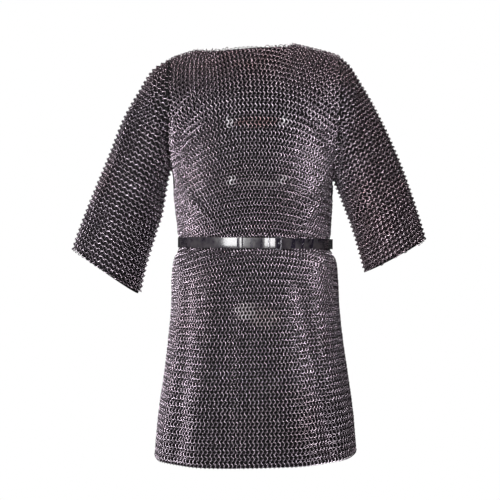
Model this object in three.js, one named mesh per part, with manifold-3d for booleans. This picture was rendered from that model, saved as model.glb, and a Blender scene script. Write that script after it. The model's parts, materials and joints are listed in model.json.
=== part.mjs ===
// A chainmail hauberk with its belt, hollow as if worn, in millimetres with +Z up.
// The origin is between the shoulders, level with their tops. The front faces -Y.
// The mail is walls along a mid-surface: a front, a back and two sleeves, a seam's gap apart. The
// front and back are each parted under the belt and below the armpits, and the sleeves halfway
// down, into simple solids.
import * as THREE from 'three';
import { mergeVertices } from 'three/addons/utils/BufferGeometryUtils.js';
import Module from 'manifold-3d';

const wasm = await Module();
wasm.setup();

const { lerp, clamp, smoothstep, degToRad } = THREE.MathUtils;

// ---------------------------------------------------------------- driving dimensions

const MAIL_WALL = 4;          // thickness of a mail wall
const SEAM_GAP = 0.3;         // clearance between neighbouring pieces of mail
const COLUMNS = 26;           // facets across a panel, side to side
const SHOULDER_COLUMNS = 6;   // how many of them lie on each shoulder
const UPPER_ROWS = 12;        // facets up a panel above the armpit
const BODY_ROUND = 2.3;       // exponent of the body's level section: 2 is an ellipse
const BODY_FLATTENS = 0.4;    // share of the armhole over which the section turns into the chest's

// Level sections of the body, from the hem to the armpits: x and z of the left and right ends,
// and how far the front and back stand from the mid-plane. The hem sags a little at the front.
const STATIONS = [
  { left: [-232, -960], right: [234, -949], front: 180, back: 176, sag: 9 },
  { left: [-223, -860], right: [226, -855], front: 170, back: 167, sag: 4 },
  { left: [-210, -770], right: [214, -768], front: 161, back: 158 },
  { left: [-200, -685], right: [202, -685], front: 153, back: 151 },
  { left: [-193, -610], right: [194, -610], front: 147, back: 146 },
  { left: [-192, -545], right: [191, -546], front: 142, back: 141 },
  { left: [-187, -503], right: [187, -506], front: 135, back: 133 },
  { left: [-178, -483], right: [177, -487], front: 125, back: 122 },
  { left: [-175, -475], right: [172, -479], front: 121, back: 118 },
  { left: [-175, -461.5], right: [172, -465.5], front: 121, back: 118 },
  { left: [-175, -448], right: [172, -452], front: 121, back: 118 },
  { left: [-178, -439], right: [174, -443], front: 126, back: 123 },
  { left: [-180, -418], right: [175, -424], front: 131, back: 129 },
  { left: [-187, -360], right: [178, -376], front: 139, back: 141 },
  { left: [-190, -316], right: [180, -342], front: 143, back: 147 },
  { left: [-197, -283], right: [186, -316], front: 145, back: 150 },
];

// How far the chest and the upper back stand from the mid-plane, by height.
const CHEST = [[-300, 145], [-220, 147], [-150, 141], [-90, 124], [-45, 104], [-12, 85], [20, 85]];
const UPPER_BACK = [[-300, 150], [-220, 153], [-150, 148], [-90, 134], [-45, 114], [-2, 88], [20, 88]];

// The armholes are upright rings at the ends of the shoulders: lowest and highest points in x, z.
const ARMHOLES = {
  left: { low: [-197, -283], high: [-199, -33] },
  right: { low: [186, -316], high: [197, -26] },
};
const ARMHOLE_DEPTH = 95;     // half the armhole, front to back
const ARMPIT_PINCH = 0.2;     // how far the lower armhole folds in, as a share of its depth
const SHOULDER_CURVE = 0.8;   // exponent of the shoulder line's rise to the neck
const NECK_CURVE = 0.7;       // exponent of the neck edge's dip

// The neck hole, seen from above, and the dips of its front and back edges.
const NECK = { x: -22, halfWidth: 107, halfDepth: 85, leftZ: -9, rightZ: 4, frontDip: 13, backDip: -5 };

// Sleeves: outer and inner lines from the armhole to the cuff in x, z, and half depths on the way.
const SLEEVES = {
  left: {
    outer: [[-199, -33], [-237, -57], [-266, -101], [-306, -171], [-341, -259], [-380, -354],
      [-412, -438], [-425, -478]],
    inner: [[-197, -283], [-206, -318], [-219, -396], [-232, -437], [-255, -513], [-270, -583]],
  },
  right: {
    outer: [[197, -26], [220, -48], [239, -77], [277, -142], [317, -224], [352, -311], [382, -403],
      [398, -458]],
    inner: [[186, -316], [199, -348], [215, -389], [230, -431], [242, -472], [258, -531]],
  },
};
const SLEEVE_STEPS = [0, 0.04, 0.1, 0.18, 0.28, 0.38, 0.5, 0.62, 0.74, 0.87, 1];
const SLEEVE_HALF_DEPTH = [[0, 95], [0.15, 94], [0.5, 84], [1, 78]];
const SLEEVE_OPENS = 0.22;    // share of the sleeve over which the armpit's pinch opens out
const CUFF_FORWARD = 14;      // how far the cuffs hang in front of the shoulders

// Long soft folds that hang in the skirt: angle at the belt and at the hem, width, and height at the hem.
const FOLDS_BELOW_BELT = 20;  // where the folds start
const SKIRT_FOLDS = {
  front: [[-30, -33, 12, 8], [4, 27, 13, 8], [-58, -64, 9, 5], [44, 58, 10, 5]],
  back: [[-38, -48, 12, 8], [-8, -13, 11, 7], [26, 33, 13, 8], [56, 62, 9, 5]],
};

// The belt: its centre height, and the layers round the buckle as distances out from the mail.
const BELT = { width: 24, thick: 2.4, z: -463.5, tilt: -4 / 350, standOff: 4.8 };
const STRAP_STEP = 16;        // length of a facet along the strap
const STRAP_FREE = { from: 20, tail: 75 };   // the plain stretch, from behind the buckle to the tail
const SIDE_SLACK = { width: 24, height: 4.5 };   // the strap stands off the mail at the right side
const FRAME = {
  bars: [[31, 13], [47, 7.9], [58.5, 10.3]],
  halfBar: 1.25,
  halfHeight: 15,
  windows: [12.4, 12.7],
  thick: 2.2,
  corner: 3,
};
const MIDDLE_BAR = { s: 47, out: 7.9, radius: 1.6, clear: 0.4 };
const PRONG = { width: 2.6, thick: 1.9, eye: 2.05, hole: 3.6 };
const PRONG_REST = { clear: 0.35, from: -3, to: 2.7 };   // where it lies on the outer bar

// The strap's mid-line at the buckle, as distances along the waist and out from the mail: behind
// the buckle, back from the turn round its middle bar, and the tail over the buckle to its end.
const TURN_STEP = 30;         // degrees in a facet of the turn
const BEHIND_BUCKLE = [[34, 4.8], [41, 4.8]];
const BACK_FROM_TURN = [[43, 10.3], [39.5, 8.7], [36, 7.7], [33, 7.6], [28, 5.7], [24, 4.9]];
const TAIL_END = -39;
const TAIL = [
  [66, 4.9], [61, 5.3], [57.5, 6.8], [54, 9.9], [51, 12.6], [48, 13.9], [44, 13.5], [40, 12.1], [36, 10.9],
  [31, 10], [26, 8.5], [20, 7.7], [10, 7.6], [-10, 7.6], [-24, 7.6], [-34, 7.6], [TAIL_END, 7.6],
];
const TAIL_TIP = { length: 6, share: 0.72 };   // how the end of the tail narrows

// The strap's round holes, in its tail and behind the buckle, and its two slots for the prong.
const STRAP_HOLES = [[-7, 8], [15, 8], [88, 4.8], [111, 4.8], [134, 4.8]];
const HOLE_PUNCH = { radius: 2, depth: 3.4, sides: 10 };
const SLOTS = [
  { s: 53.6, out: 12.6, length: 10.8, depth: 16 },
  { s: 47, out: 8, length: 9.8, depth: 8.8 },
];
const KEEPER = { from: -33, to: -25.5, inner: 2.5, outer: 8.9, leather: 0.9, side: 0.5 };

const LEATHER = { color: 0x1b1b20, roughness: 0.3, metalness: 0 };
const STEEL = { color: 0xc8c8cc, roughness: 0.25, metalness: 1 };
const MAIL = { color: 0x4f464c, roughness: 0.5, metalness: 0.8 };

// ---------------------------------------------------------------- small helpers

const vec = (x, y, z) => new THREE.Vector3(x, y, z);

// A value read off a table of [place, value] pairs by a smooth curve.
function lookUp(table, place) {
  const last = table.length - 1;
  const at = clamp(place, table[0][0], table[last][0]);
  let k = 0;
  while (k < last - 1 && at > table[k + 1][0]) k += 1;
  const slope = (n) => {
    const a = table[Math.max(n - 1, 0)];
    const b = table[Math.min(n + 1, last)];
    return (b[1] - a[1]) / (b[0] - a[0]);
  };
  const [p0, v0] = table[k];
  const [p1, v1] = table[k + 1];
  const span = p1 - p0;
  const t = (at - p0) / span;
  const ease = t * t * (3 - 2 * t);
  return lerp(v0, v1, ease) + t * (1 - t) * span * ((1 - t) * slope(k) - t * slope(k + 1));
}

// A plane curve in x and z through a few points.
const planeCurve = (points) => new THREE.CatmullRomCurve3(points.map(([x, z]) => vec(x, 0, z)));

function mesh(name, geometry, finish) {
  const part = new THREE.Mesh(geometry, new THREE.MeshStandardMaterial(finish));
  part.name = name;
  return part;
}

// ---------------------------------------------------------------- walls from a grid

// Unit normals of a grid of points, from the differences of their neighbours.
function gridNormals(grid, wrap) {
  const rows = grid.length;
  const cols = grid[0].length;
  return grid.map((row, j) => row.map((_, i) => {
    const before = wrap ? (i + cols - 1) % cols : Math.max(i - 1, 0);
    const after = wrap ? (i + 1) % cols : Math.min(i + 1, cols - 1);
    const along = row[after].clone().sub(row[before]);
    const up = grid[Math.min(j + 1, rows - 1)][i].clone().sub(grid[Math.max(j - 1, 0)][i]);
    return along.cross(up).normalize();
  }));
}

// A closed wall: the grid moved out and in along its normals, with strips along its open edges.
function wallGeometry(grid, normals, wrap, thick) {
  const rows = grid.length;
  const cols = grid[0].length;
  const positions = [];
  for (const side of [0.5, -0.5]) {
    grid.forEach((row, j) => row.forEach((point, i) => {
      const moved = point.clone().addScaledVector(normals[j][i], side * thick);
      positions.push(moved.x, moved.y, moved.z);
    }));
  }
  const inner = rows * cols;
  const at = (j, i) => j * cols + (i % cols);
  const spans = wrap ? cols : cols - 1;
  const index = [];
  const quad = (a, b, c, d) => index.push(a, b, c, a, c, d);
  const strip = (a, b) => quad(b, a, inner + a, inner + b);
  // The last row's faces are halved the same way as the first row's, so that two walls that meet
  // there fit each other.
  const lastStrip = (a, b) => quad(a, inner + a, inner + b, b);
  for (let i = 0; i < spans; i += 1) {
    for (let j = 0; j < rows - 1; j += 1) {
      const [a, b, c, d] = [at(j, i), at(j, i + 1), at(j + 1, i + 1), at(j + 1, i)];
      quad(a, b, c, d);
      quad(inner + a, inner + d, inner + c, inner + b);
    }
    strip(at(0, i), at(0, i + 1));
    lastStrip(at(rows - 1, i + 1), at(rows - 1, i));
  }
  for (let j = 0; j < rows - 1 && !wrap; j += 1) {
    strip(at(j + 1, 0), at(j, 0));
    strip(at(j, cols - 1), at(j + 1, cols - 1));
  }
  const geometry = new THREE.BufferGeometry();
  geometry.setAttribute('position', new THREE.Float32BufferAttribute(positions, 3));
  geometry.setIndex(index);
  return geometry;
}

// A wall's grid parted at some of its rows, a seam's gap apart: its stretches, with their normals.
function partGrid(grid, normals, cuts) {
  const pulledBack = (cut, towards) => grid[cut].map((point, i) => {
    const neighbour = grid[towards][i];
    return point.clone().lerp(neighbour, SEAM_GAP / 2 / point.distanceTo(neighbour));
  });
  const topRow = grid.length - 1;
  const ends = [...cuts, topRow];
  return ends.map((to, k) => {
    const from = k > 0 ? ends[k - 1] : 0;
    const rows = grid.slice(from, to + 1);
    if (from > 0) rows[0] = pulledBack(from, from + 1);
    if (to < topRow) rows[rows.length - 1] = pulledBack(to, to - 1);
    return [rows, normals.slice(from, to + 1)];
  });
}

// ---------------------------------------------------------------- the armholes

// Points of one armhole, from the armpit (turn 0) to the shoulder (turn PI). Face is -1 at the
// front and 1 at the back. The lower half folds in to a pinch.
function armholePoint(side, face, turn) {
  const { low, high } = ARMHOLES[side];
  const rise = (1 - Math.cos(turn)) / 2;
  return vec(lerp(low[0], high[0], rise), face * armholeDepth(turn), lerp(low[1], high[1], rise));
}

function armholeDepth(turn) {
  const pinch = turn < Math.PI / 2 ? ARMPIT_PINCH * Math.sin(2 * turn) : 0;
  return ARMHOLE_DEPTH * Math.sin(turn) * (1 - pinch);
}

// Outward normal of an armhole within its own plane. Body and sleeve share it along the seam.
function armholeNormal(side, face, turn) {
  const step = 0.02;
  const ahead = armholePoint(side, face, turn + step);
  const behind = armholePoint(side, face, turn - step);
  const across = vec(1, 0, (ARMHOLES[side].low[0] - ARMHOLES[side].high[0])
    / (ARMHOLES[side].high[1] - ARMHOLES[side].low[1]));
  return ahead.sub(behind).cross(across).multiplyScalar(face).normalize();
}

// ---------------------------------------------------------------- front and back

const PANELS = {
  front: { face: -1, profile: CHEST, folds: SKIRT_FOLDS.front, neckDip: NECK.frontDip },
  back: { face: 1, profile: UPPER_BACK, folds: SKIRT_FOLDS.back, neckDip: NECK.backDip },
};

// The soft folds' height at a place on the skirt: nothing at the belt, all of it at the hem.
function foldHeight(folds, angle, z) {
  const foldsFrom = BELT.z - FOLDS_BELOW_BELT;
  const drop = clamp((foldsFrom - z) / (foldsFrom - STATIONS[0].left[1]), 0, 1);
  return folds.reduce((sum, [atBelt, atHem, width, height]) => {
    const place = (THREE.MathUtils.radToDeg(angle) - lerp(atBelt, atHem, drop)) / width;
    return sum + height * Math.sqrt(drop) * Math.exp(-place * place);
  }, 0);
}

// A point below the armpits, on a level section.
function lowerPoint(name, station, column) {
  const { face, folds } = PANELS[name];
  const { left, right } = station;
  const angle = (column / COLUMNS - 0.5) * Math.PI;
  const across = Math.sin(angle);
  const reach = (1 - Math.abs(across) ** BODY_ROUND) ** (1 / BODY_ROUND);
  const x = lerp(left[0], right[0], (across + 1) / 2);
  const z = lerp(left[1], right[1], (across + 1) / 2);
  const fold = foldHeight(folds, angle, z);
  const drop = name === 'front' ? (station.sag ?? 0) * Math.cos(angle) : 0;
  return vec(x + fold * across, face * (station[name] * reach + fold * Math.cos(angle)), z - drop);
}

// Where a column ends on the shoulder line or the neck edge.
function topPoint(name, column) {
  const { face, neckDip } = PANELS[name];
  const neckLeft = NECK.x - NECK.halfWidth;
  const neckRight = NECK.x + NECK.halfWidth;
  const neckColumns = COLUMNS - 2 * SHOULDER_COLUMNS;
  const { left, right } = ARMHOLES;
  if (column < SHOULDER_COLUMNS) {
    const share = column / SHOULDER_COLUMNS;
    const z = lerp(left.high[1], NECK.leftZ, share ** SHOULDER_CURVE);
    return vec(lerp(left.high[0], neckLeft, share), 0, z);
  }
  if (column > COLUMNS - SHOULDER_COLUMNS) {
    const share = (COLUMNS - column) / SHOULDER_COLUMNS;
    const z = lerp(right.high[1], NECK.rightZ, share ** SHOULDER_CURVE);
    return vec(lerp(right.high[0], neckRight, share), 0, z);
  }
  const turn = Math.PI * (column - SHOULDER_COLUMNS) / neckColumns;
  const share = (1 - Math.cos(turn)) / 2;
  const z = lerp(NECK.leftZ, NECK.rightZ, share) - neckDip * Math.sin(turn) ** NECK_CURVE;
  return vec(lerp(neckLeft, neckRight, share), face * NECK.halfDepth * Math.sin(turn), z);
}

// A point above the armpits. Turn runs from 0 at the armpit to PI at the shoulder or neck.
function upperPoint(name, column, turn) {
  const { face, profile } = PANELS[name];
  const base = lowerPoint(name, STATIONS.at(-1), column);
  const top = topPoint(name, column);
  const leftEnd = armholePoint('left', face, turn).x;
  const rightEnd = armholePoint('right', face, turn).x;
  const even = (2 * column) / COLUMNS - 1;
  const rounded = Math.sin((even * Math.PI) / 2);
  const flat = smoothstep(turn, 0, BODY_FLATTENS * Math.PI);
  const place = lerp(rounded, even, flat);
  const { left, right } = ARMHOLES;
  const topPlace = (top.x - left.high[0]) / (right.high[0] - left.high[0]);
  const gathered = smoothstep(turn, 0.5 * Math.PI, Math.PI);
  const x = lerp(leftEnd, rightEnd, lerp((place + 1) / 2, topPlace, gathered));
  const z = lerp(base.z, top.z, (1 - Math.cos(turn)) / 2);

  const across = clamp((2 * x - leftEnd - rightEnd) / (rightEnd - leftEnd), -1, 1);
  const reach = (1 - Math.abs(across) ** BODY_ROUND) ** (1 / lerp(BODY_ROUND, 1, flat));
  const chest = lookUp(profile, z);
  const atTop = Math.abs(top.y) / Math.max(lookUp(profile, top.z) * reach, 1);
  const stay = Math.min(atTop, 1);
  const closing = turn < Math.PI / 2 ? 1 : Math.hypot(Math.sin(turn) * Math.sqrt(1 - stay * stay), stay);
  const edge = armholeDepth(turn);
  const above = edge + (chest * closing - edge) * reach;
  const near = Math.cbrt((chest * reach) ** 3 + edge ** 3);
  const depth = turn >= Math.PI ? Math.abs(top.y) : lerp(near, above, flat);
  return vec(x, face * depth, z);
}

function panelGrid(name) {
  const columns = [...Array(COLUMNS + 1).keys()];
  const grid = STATIONS.map((station) => columns.map((column) => lowerPoint(name, station, column)));
  for (let row = 1; row <= UPPER_ROWS; row += 1) {
    const turn = (Math.PI * row) / UPPER_ROWS;
    grid.push(columns.map((column) => upperPoint(name, column, turn)));
  }
  return grid;
}

// Normals that the neighbouring pieces share along the side seams, armholes and shoulder lines.
function setSeamNormals(name, grid, normals) {
  const { face } = PANELS[name];
  const lastLevel = STATIONS.length - 1;
  const topRow = grid.length - 1;
  for (const [side, column, outward] of [['left', 0, -1], ['right', COLUMNS, 1]]) {
    for (let j = 0; j < lastLevel; j += 1) {
      const seam = grid[j + 1][column].clone().sub(grid[Math.max(j - 1, 0)][column]);
      normals[j][column] = vec(outward * seam.z, 0, -outward * seam.x).normalize();
    }
    for (let j = lastLevel; j <= topRow; j += 1) {
      normals[j][column] = armholeNormal(side, face, (Math.PI * (j - lastLevel)) / UPPER_ROWS);
    }
  }
  for (let i = 1; i < COLUMNS; i += 1) {
    if (i > SHOULDER_COLUMNS && i < COLUMNS - SHOULDER_COLUMNS) continue;
    const line = grid[topRow][i + 1].clone().sub(grid[topRow][i - 1]);
    normals[topRow][i] = vec(-line.z, 0, line.x).normalize();
  }
}

// Pull a panel's edges back from the seams by half the gap.
function openSeams(name, grid) {
  const { face } = PANELS[name];
  const half = SEAM_GAP / 2;
  const lastLevel = STATIONS.length - 1;
  const topRow = grid.length - 1;
  grid.forEach((row, j) => {
    const ends = [[row[0], 1], [row[COLUMNS], -1]];
    for (const [point, inward] of ends) {
      if (j >= lastLevel) point.x += inward * half;
      if (j <= lastLevel || j === topRow) point.y += face * half;
    }
  });
  for (let i = 1; i < COLUMNS; i += 1) {
    const onShoulder = i <= SHOULDER_COLUMNS || i >= COLUMNS - SHOULDER_COLUMNS;
    if (onShoulder) grid[topRow][i].y += face * half;
  }
}

// The skirt, belly and chest of one panel, which meet under the belt and just below the armpits.
function makePanel(name) {
  const grid = panelGrid(name);
  const normals = gridNormals(grid, false);
  if (name === 'back') normals.flat().forEach((normal) => normal.negate());
  setSeamNormals(name, grid, normals);
  openSeams(name, grid);
  if (name === 'back') [...grid, ...normals].forEach((row) => row.reverse());
  const underBelt = STATIONS.findIndex(({ left }) => left[1] > BELT.z);
  const underArmpits = STATIONS.length - 2;
  return partGrid(grid, normals, [underBelt, underArmpits]).map(([part, facing], k) => (
    mesh(`${name}_${['skirt', 'belly', 'chest'][k]}`, wallGeometry(part, facing, false, MAIL_WALL), MAIL)));
}

// ---------------------------------------------------------------- sleeves

// The upper and lower half of one sleeve.
function makeSleeve(side) {
  const outward = side === 'left' ? -1 : 1;
  const outer = planeCurve(SLEEVES[side].outer);
  const inner = planeCurve(SLEEVES[side].inner);
  const around = 2 * UPPER_ROWS;
  // The ring of turns starts at the armpit. It goes by the front on the left sleeve, and by the
  // back on the right one, so that both walls face out.
  const turns = [...Array(around).keys()].map((k) => (k <= UPPER_ROWS
    ? { face: outward, turn: (Math.PI * k) / UPPER_ROWS }
    : { face: -outward, turn: (Math.PI * (around - k)) / UPPER_ROWS }));
  const grid = SLEEVE_STEPS.map((step) => {
    const high = outer.getPointAt(step);
    const low = inner.getPointAt(step);
    const halfDepth = lookUp(SLEEVE_HALF_DEPTH, step);
    const pinchLeft = 1 - smoothstep(step, 0, SLEEVE_OPENS);
    return turns.map(({ face, turn }) => {
      const round = ARMHOLE_DEPTH * Math.sin(turn);
      const share = lerp(round, armholeDepth(turn), pinchLeft) / ARMHOLE_DEPTH;
      const point = low.clone().lerp(high, (1 - Math.cos(turn)) / 2);
      point.y = face * halfDepth * share - CUFF_FORWARD * step * step;
      return point;
    });
  });
  const normals = gridNormals(grid, true);
  normals[0] = turns.map(({ face, turn }) => armholeNormal(side, face, turn));
  grid[0].forEach((point) => { point.x += (outward * SEAM_GAP) / 2; });
  const halfway = SLEEVE_STEPS.indexOf(0.5);
  return partGrid(grid, normals, [halfway]).map(([part, facing], k) => (
    mesh(`sleeve_${side}_${['upper', 'lower'][k]}`, wallGeometry(part, facing, true, MAIL_WALL), MAIL)));
}

// ---------------------------------------------------------------- belt space

// The belt is drawn straight, in s along the waist from the middle of the front towards the
// right, out from the mail, and h up. Bending lays it round the waist.
function waistCurve() {
  const shape = STATIONS.find(({ left }) => left[1] > BELT.z);
  const count = 120;
  const points = [...Array(count).keys()].map((k) => {
    const turn = (2 * Math.PI * k) / count;
    const across = Math.sin(turn);
    const reach = (1 - Math.abs(across) ** BODY_ROUND) ** (1 / BODY_ROUND);
    const y = Math.cos(turn) > 0 ? -shape.front * reach : shape.back * reach;
    return vec(lerp(shape.left[0], shape.right[0], (across + 1) / 2), y, 0);
  });
  return new THREE.CatmullRomCurve3(points, true);
}

const WAIST = waistCurve();
WAIST.arcLengthDivisions = 1000;
const WAIST_LENGTH = WAIST.getLength();

function onWaist(s, out, h) {
  const share = (((s / WAIST_LENGTH) % 1) + 1) % 1;
  const point = WAIST.getPointAt(share);
  const along = WAIST.getTangentAt(share);
  const z = BELT.z + BELT.tilt * point.x + h;
  return vec(point.x + along.y * out, point.y - along.x * out, z);
}

// Bend a geometry drawn in belt space, where x is s, y is out and z is h. Turning the sense of
// the y axis mirrors it, so its faces are turned over as well.
function bend(geometry) {
  const flat = geometry.clone();
  flat.deleteAttribute('normal');
  flat.deleteAttribute('uv');
  const bent = mergeVertices(flat, 1e-3);
  const position = bent.attributes.position;
  for (let k = 0; k < position.count; k += 1) {
    const point = onWaist(position.getX(k), position.getY(k), position.getZ(k));
    position.setXYZ(k, point.x, point.y, point.z);
  }
  const index = bent.index.array;
  for (let k = 0; k < index.length; k += 3) [index[k], index[k + 1]] = [index[k + 1], index[k]];
  return bent;
}

function toSolid(geometry) {
  return new wasm.Manifold(new wasm.Mesh({
    numProp: 3,
    vertProperties: new Float32Array(geometry.attributes.position.array),
    triVerts: new Uint32Array(geometry.index.array),
  }));
}

function toGeometry(solid) {
  const { vertProperties, triVerts } = solid.getMesh();
  const geometry = new THREE.BufferGeometry();
  geometry.setAttribute('position', new THREE.Float32BufferAttribute(vertProperties, 3));
  geometry.setIndex([...triVerts]);
  return geometry;
}

// ---------------------------------------------------------------- belt strap

// The strap's mid-line in belt space as [s, out]: the fold behind the buckle, the turn round its
// middle bar, the way round the waist, and the tail over the buckle to its end.
function strapLine() {
  const base = BELT.standOff;
  const { from, tail: tailStart } = STRAP_FREE;
  const line = [...BEHIND_BUCKLE];
  const wrap = BELT.thick / 2 + MIDDLE_BAR.clear + MIDDLE_BAR.radius;
  for (let turn = -90; turn <= 90; turn += TURN_STEP) {
    const angle = degToRad(turn);
    line.push([MIDDLE_BAR.s + wrap * Math.cos(angle), MIDDLE_BAR.out + wrap * Math.sin(angle)]);
  }
  line.push(...BACK_FROM_TURN, [from, base]);
  const sideSlack = WAIST_LENGTH / 4;
  const steps = Math.round((WAIST_LENGTH + from - tailStart) / STRAP_STEP);
  for (let k = 1; k <= steps; k += 1) {
    const s = lerp(from, tailStart - WAIST_LENGTH, k / steps);
    const place = (s + WAIST_LENGTH - sideSlack) / SIDE_SLACK.width;
    line.push([s, base + SIDE_SLACK.height * Math.exp(-place * place)]);
  }
  TAIL.forEach(([s, out]) => line.push([s - WAIST_LENGTH, out]));
  return line;
}

// Half the strap's width, which tapers over the last of the tail.
function strapHalfWidth(s) {
  const end = TAIL_END - WAIST_LENGTH;
  return (BELT.width / 2) * lerp(TAIL_TIP.share, 1, smoothstep(s, end, end + TAIL_TIP.length));
}

function makeStrap() {
  const line = strapLine();
  const outward = line.map((_, k) => {
    const [s0, d0] = line[Math.max(k - 1, 0)];
    const [s1, d1] = line[Math.min(k + 1, line.length - 1)];
    const size = Math.hypot(s1 - s0, d1 - d0);
    return [(d1 - d0) / size, -(s1 - s0) / size];
  });
  const shell = (side) => [-1, 1].map((end) => line.map(([s, out], k) => onWaist(
    s + side * outward[k][0] * BELT.thick / 2,
    out + side * outward[k][1] * BELT.thick / 2,
    end * strapHalfWidth(s),
  )));
  const outerFace = shell(1);
  const innerFace = shell(-1);
  const middle = outerFace.map((row, j) => row.map((point, i) => point.clone().lerp(innerFace[j][i], 0.5)));
  const normals = outerFace.map((row, j) => row.map((point, i) => (
    point.clone().sub(innerFace[j][i]).divideScalar(BELT.thick))));
  [...middle, ...normals].forEach((row) => row.reverse());
  let strap = toSolid(wallGeometry(middle, normals, false, BELT.thick));
  const { radius, depth: punchDepth, sides } = HOLE_PUNCH;
  for (const [s, out] of STRAP_HOLES) {
    const hole = new THREE.CylinderGeometry(radius, radius, punchDepth, sides, 1);
    hole.translate(s, out, 0);
    strap = strap.subtract(toSolid(bend(hole)));
  }
  for (const { s, out, length, depth } of SLOTS) {
    const slot = new THREE.BoxGeometry(length, depth, PRONG.hole);
    slot.translate(s, out, 0);
    strap = strap.subtract(toSolid(bend(slot)));
  }
  return mesh('belt_strap', toGeometry(strap), LEATHER);
}

// ---------------------------------------------------------------- keeper and buckle

// A flat leather loop round both layers of the strap.
function makeKeeper() {
  const { from, to, inner, outer, leather, side } = KEEPER;
  const halfHole = BELT.width / 2 + side;
  const outline = new THREE.Shape([
    [inner, -halfHole - leather], [outer + leather, -halfHole - leather],
    [outer + leather, halfHole + leather], [inner, halfHole + leather],
  ].map(([out, h]) => new THREE.Vector2(out, h)));
  outline.holes.push(new THREE.Path([
    [inner + leather, -halfHole], [outer, -halfHole], [outer, halfHole], [inner + leather, halfHole],
  ].map(([out, h]) => new THREE.Vector2(out, h))));
  const loop = new THREE.ExtrudeGeometry(outline, { depth: to - from, bevelEnabled: false, steps: 1 });
  // The shape lies in out and h, and its depth runs along s.
  loop.applyMatrix4(new THREE.Matrix4().set(0, 0, 1, from, 1, 0, 0, 0, 0, 1, 0, 0, 0, 0, 0, 1));
  return mesh('belt_keeper', bend(loop), LEATHER);
}

// A double-loop frame: three upright bars joined by a rail above and one below. It is cut as a
// flat plate with two windows, then set out from the strap bar by bar.
function makeFrame() {
  const { bars, halfBar, halfHeight, windows, thick, corner } = FRAME;
  const left = bars[0][0] - halfBar;
  const right = bars[2][0] + halfBar;
  const outline = new THREE.Shape();
  outline.absarc(right - corner, halfHeight - corner, corner, 0, Math.PI / 2);
  outline.absarc(left + corner, halfHeight - corner, corner, Math.PI / 2, Math.PI);
  outline.absarc(left + corner, corner - halfHeight, corner, Math.PI, 1.5 * Math.PI);
  outline.absarc(right - corner, corner - halfHeight, corner, 1.5 * Math.PI, 2 * Math.PI);
  windows.forEach((window, k) => {
    const [from, to] = [bars[k][0] + halfBar, bars[k + 1][0] - halfBar];
    outline.holes.push(new THREE.Path([
      [from, -window], [from, window], [to, window], [to, -window],
    ].map(([x, y]) => new THREE.Vector2(x, y))));
  });
  const plate = new THREE.ExtrudeGeometry(outline, { depth: thick, bevelEnabled: false, curveSegments: 4 });
  plate.translate(0, 0, -thick / 2);
  plate.rotateX(Math.PI / 2);
  const position = plate.attributes.position;
  for (let k = 0; k < position.count; k += 1) {
    const s = position.getX(k);
    const [a, b] = s < bars[1][0] ? [bars[0], bars[1]] : [bars[1], bars[2]];
    const share = clamp((s - a[0]) / (b[0] - a[0]), 0, 1);
    position.setY(k, position.getY(k) + lerp(a[1], b[1], share));
  }
  return mesh('buckle_frame', bend(plate), STEEL);
}

// The prong: an eye round the middle bar, and an arm that rests on the outer bar.
function makeProng() {
  const { eye, thick, width } = PRONG;
  const { s, out } = MIDDLE_BAR;
  const [outerS, outerOut] = FRAME.bars[2];
  const ring = new THREE.Shape().absarc(s, out, eye + thick, 0, 2 * Math.PI);
  ring.holes.push(new THREE.Path().absarc(s, out, eye, 0, 2 * Math.PI, true));
  const rest = outerOut + FRAME.thick / 2 + PRONG_REST.clear;
  const arm = new THREE.Shape([
    [s + eye + 0.6, out + 0.4], [outerS + PRONG_REST.from, rest - 0.5], [outerS + PRONG_REST.to, rest],
    [outerS + PRONG_REST.to, rest + thick * 0.7], [outerS + PRONG_REST.from, rest + thick],
    [s, out + eye + thick - 0.2], [s + 0.5, out + eye + 0.5],
  ].map(([x, y]) => new THREE.Vector2(x, y)));
  const solids = [ring, arm].map((shape) => {
    const plate = new THREE.ExtrudeGeometry(shape, { depth: width, bevelEnabled: false, curveSegments: 10 });
    plate.translate(0, 0, -width / 2);
    return toSolid(bend(plate));
  });
  return mesh('buckle_prong', toGeometry(solids[0].add(solids[1])), STEEL);
}

// ---------------------------------------------------------------- the whole hauberk

const hauberk = new THREE.Group();
hauberk.add(
  ...makePanel('front'),
  ...makePanel('back'),
  ...makeSleeve('left'),
  ...makeSleeve('right'),
  makeStrap(),
  makeKeeper(),
  makeFrame(),
  makeProng(),
);

export default hauberk;
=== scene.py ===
# %% [markdown]
# # A chainmail hauberk with its belt
# A hauberk is a shirt of mail: many thousands of small steel rings, each linked through four
# neighbours, and nothing else. This one is shown as it hangs on a wearer, hollow and empty, with
# a belt of black leather buckled round its waist.
# The frame holds its solid form. Here that form gets its rings, its belt and its finish.

# %% Load the frame
import json
import math

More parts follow.
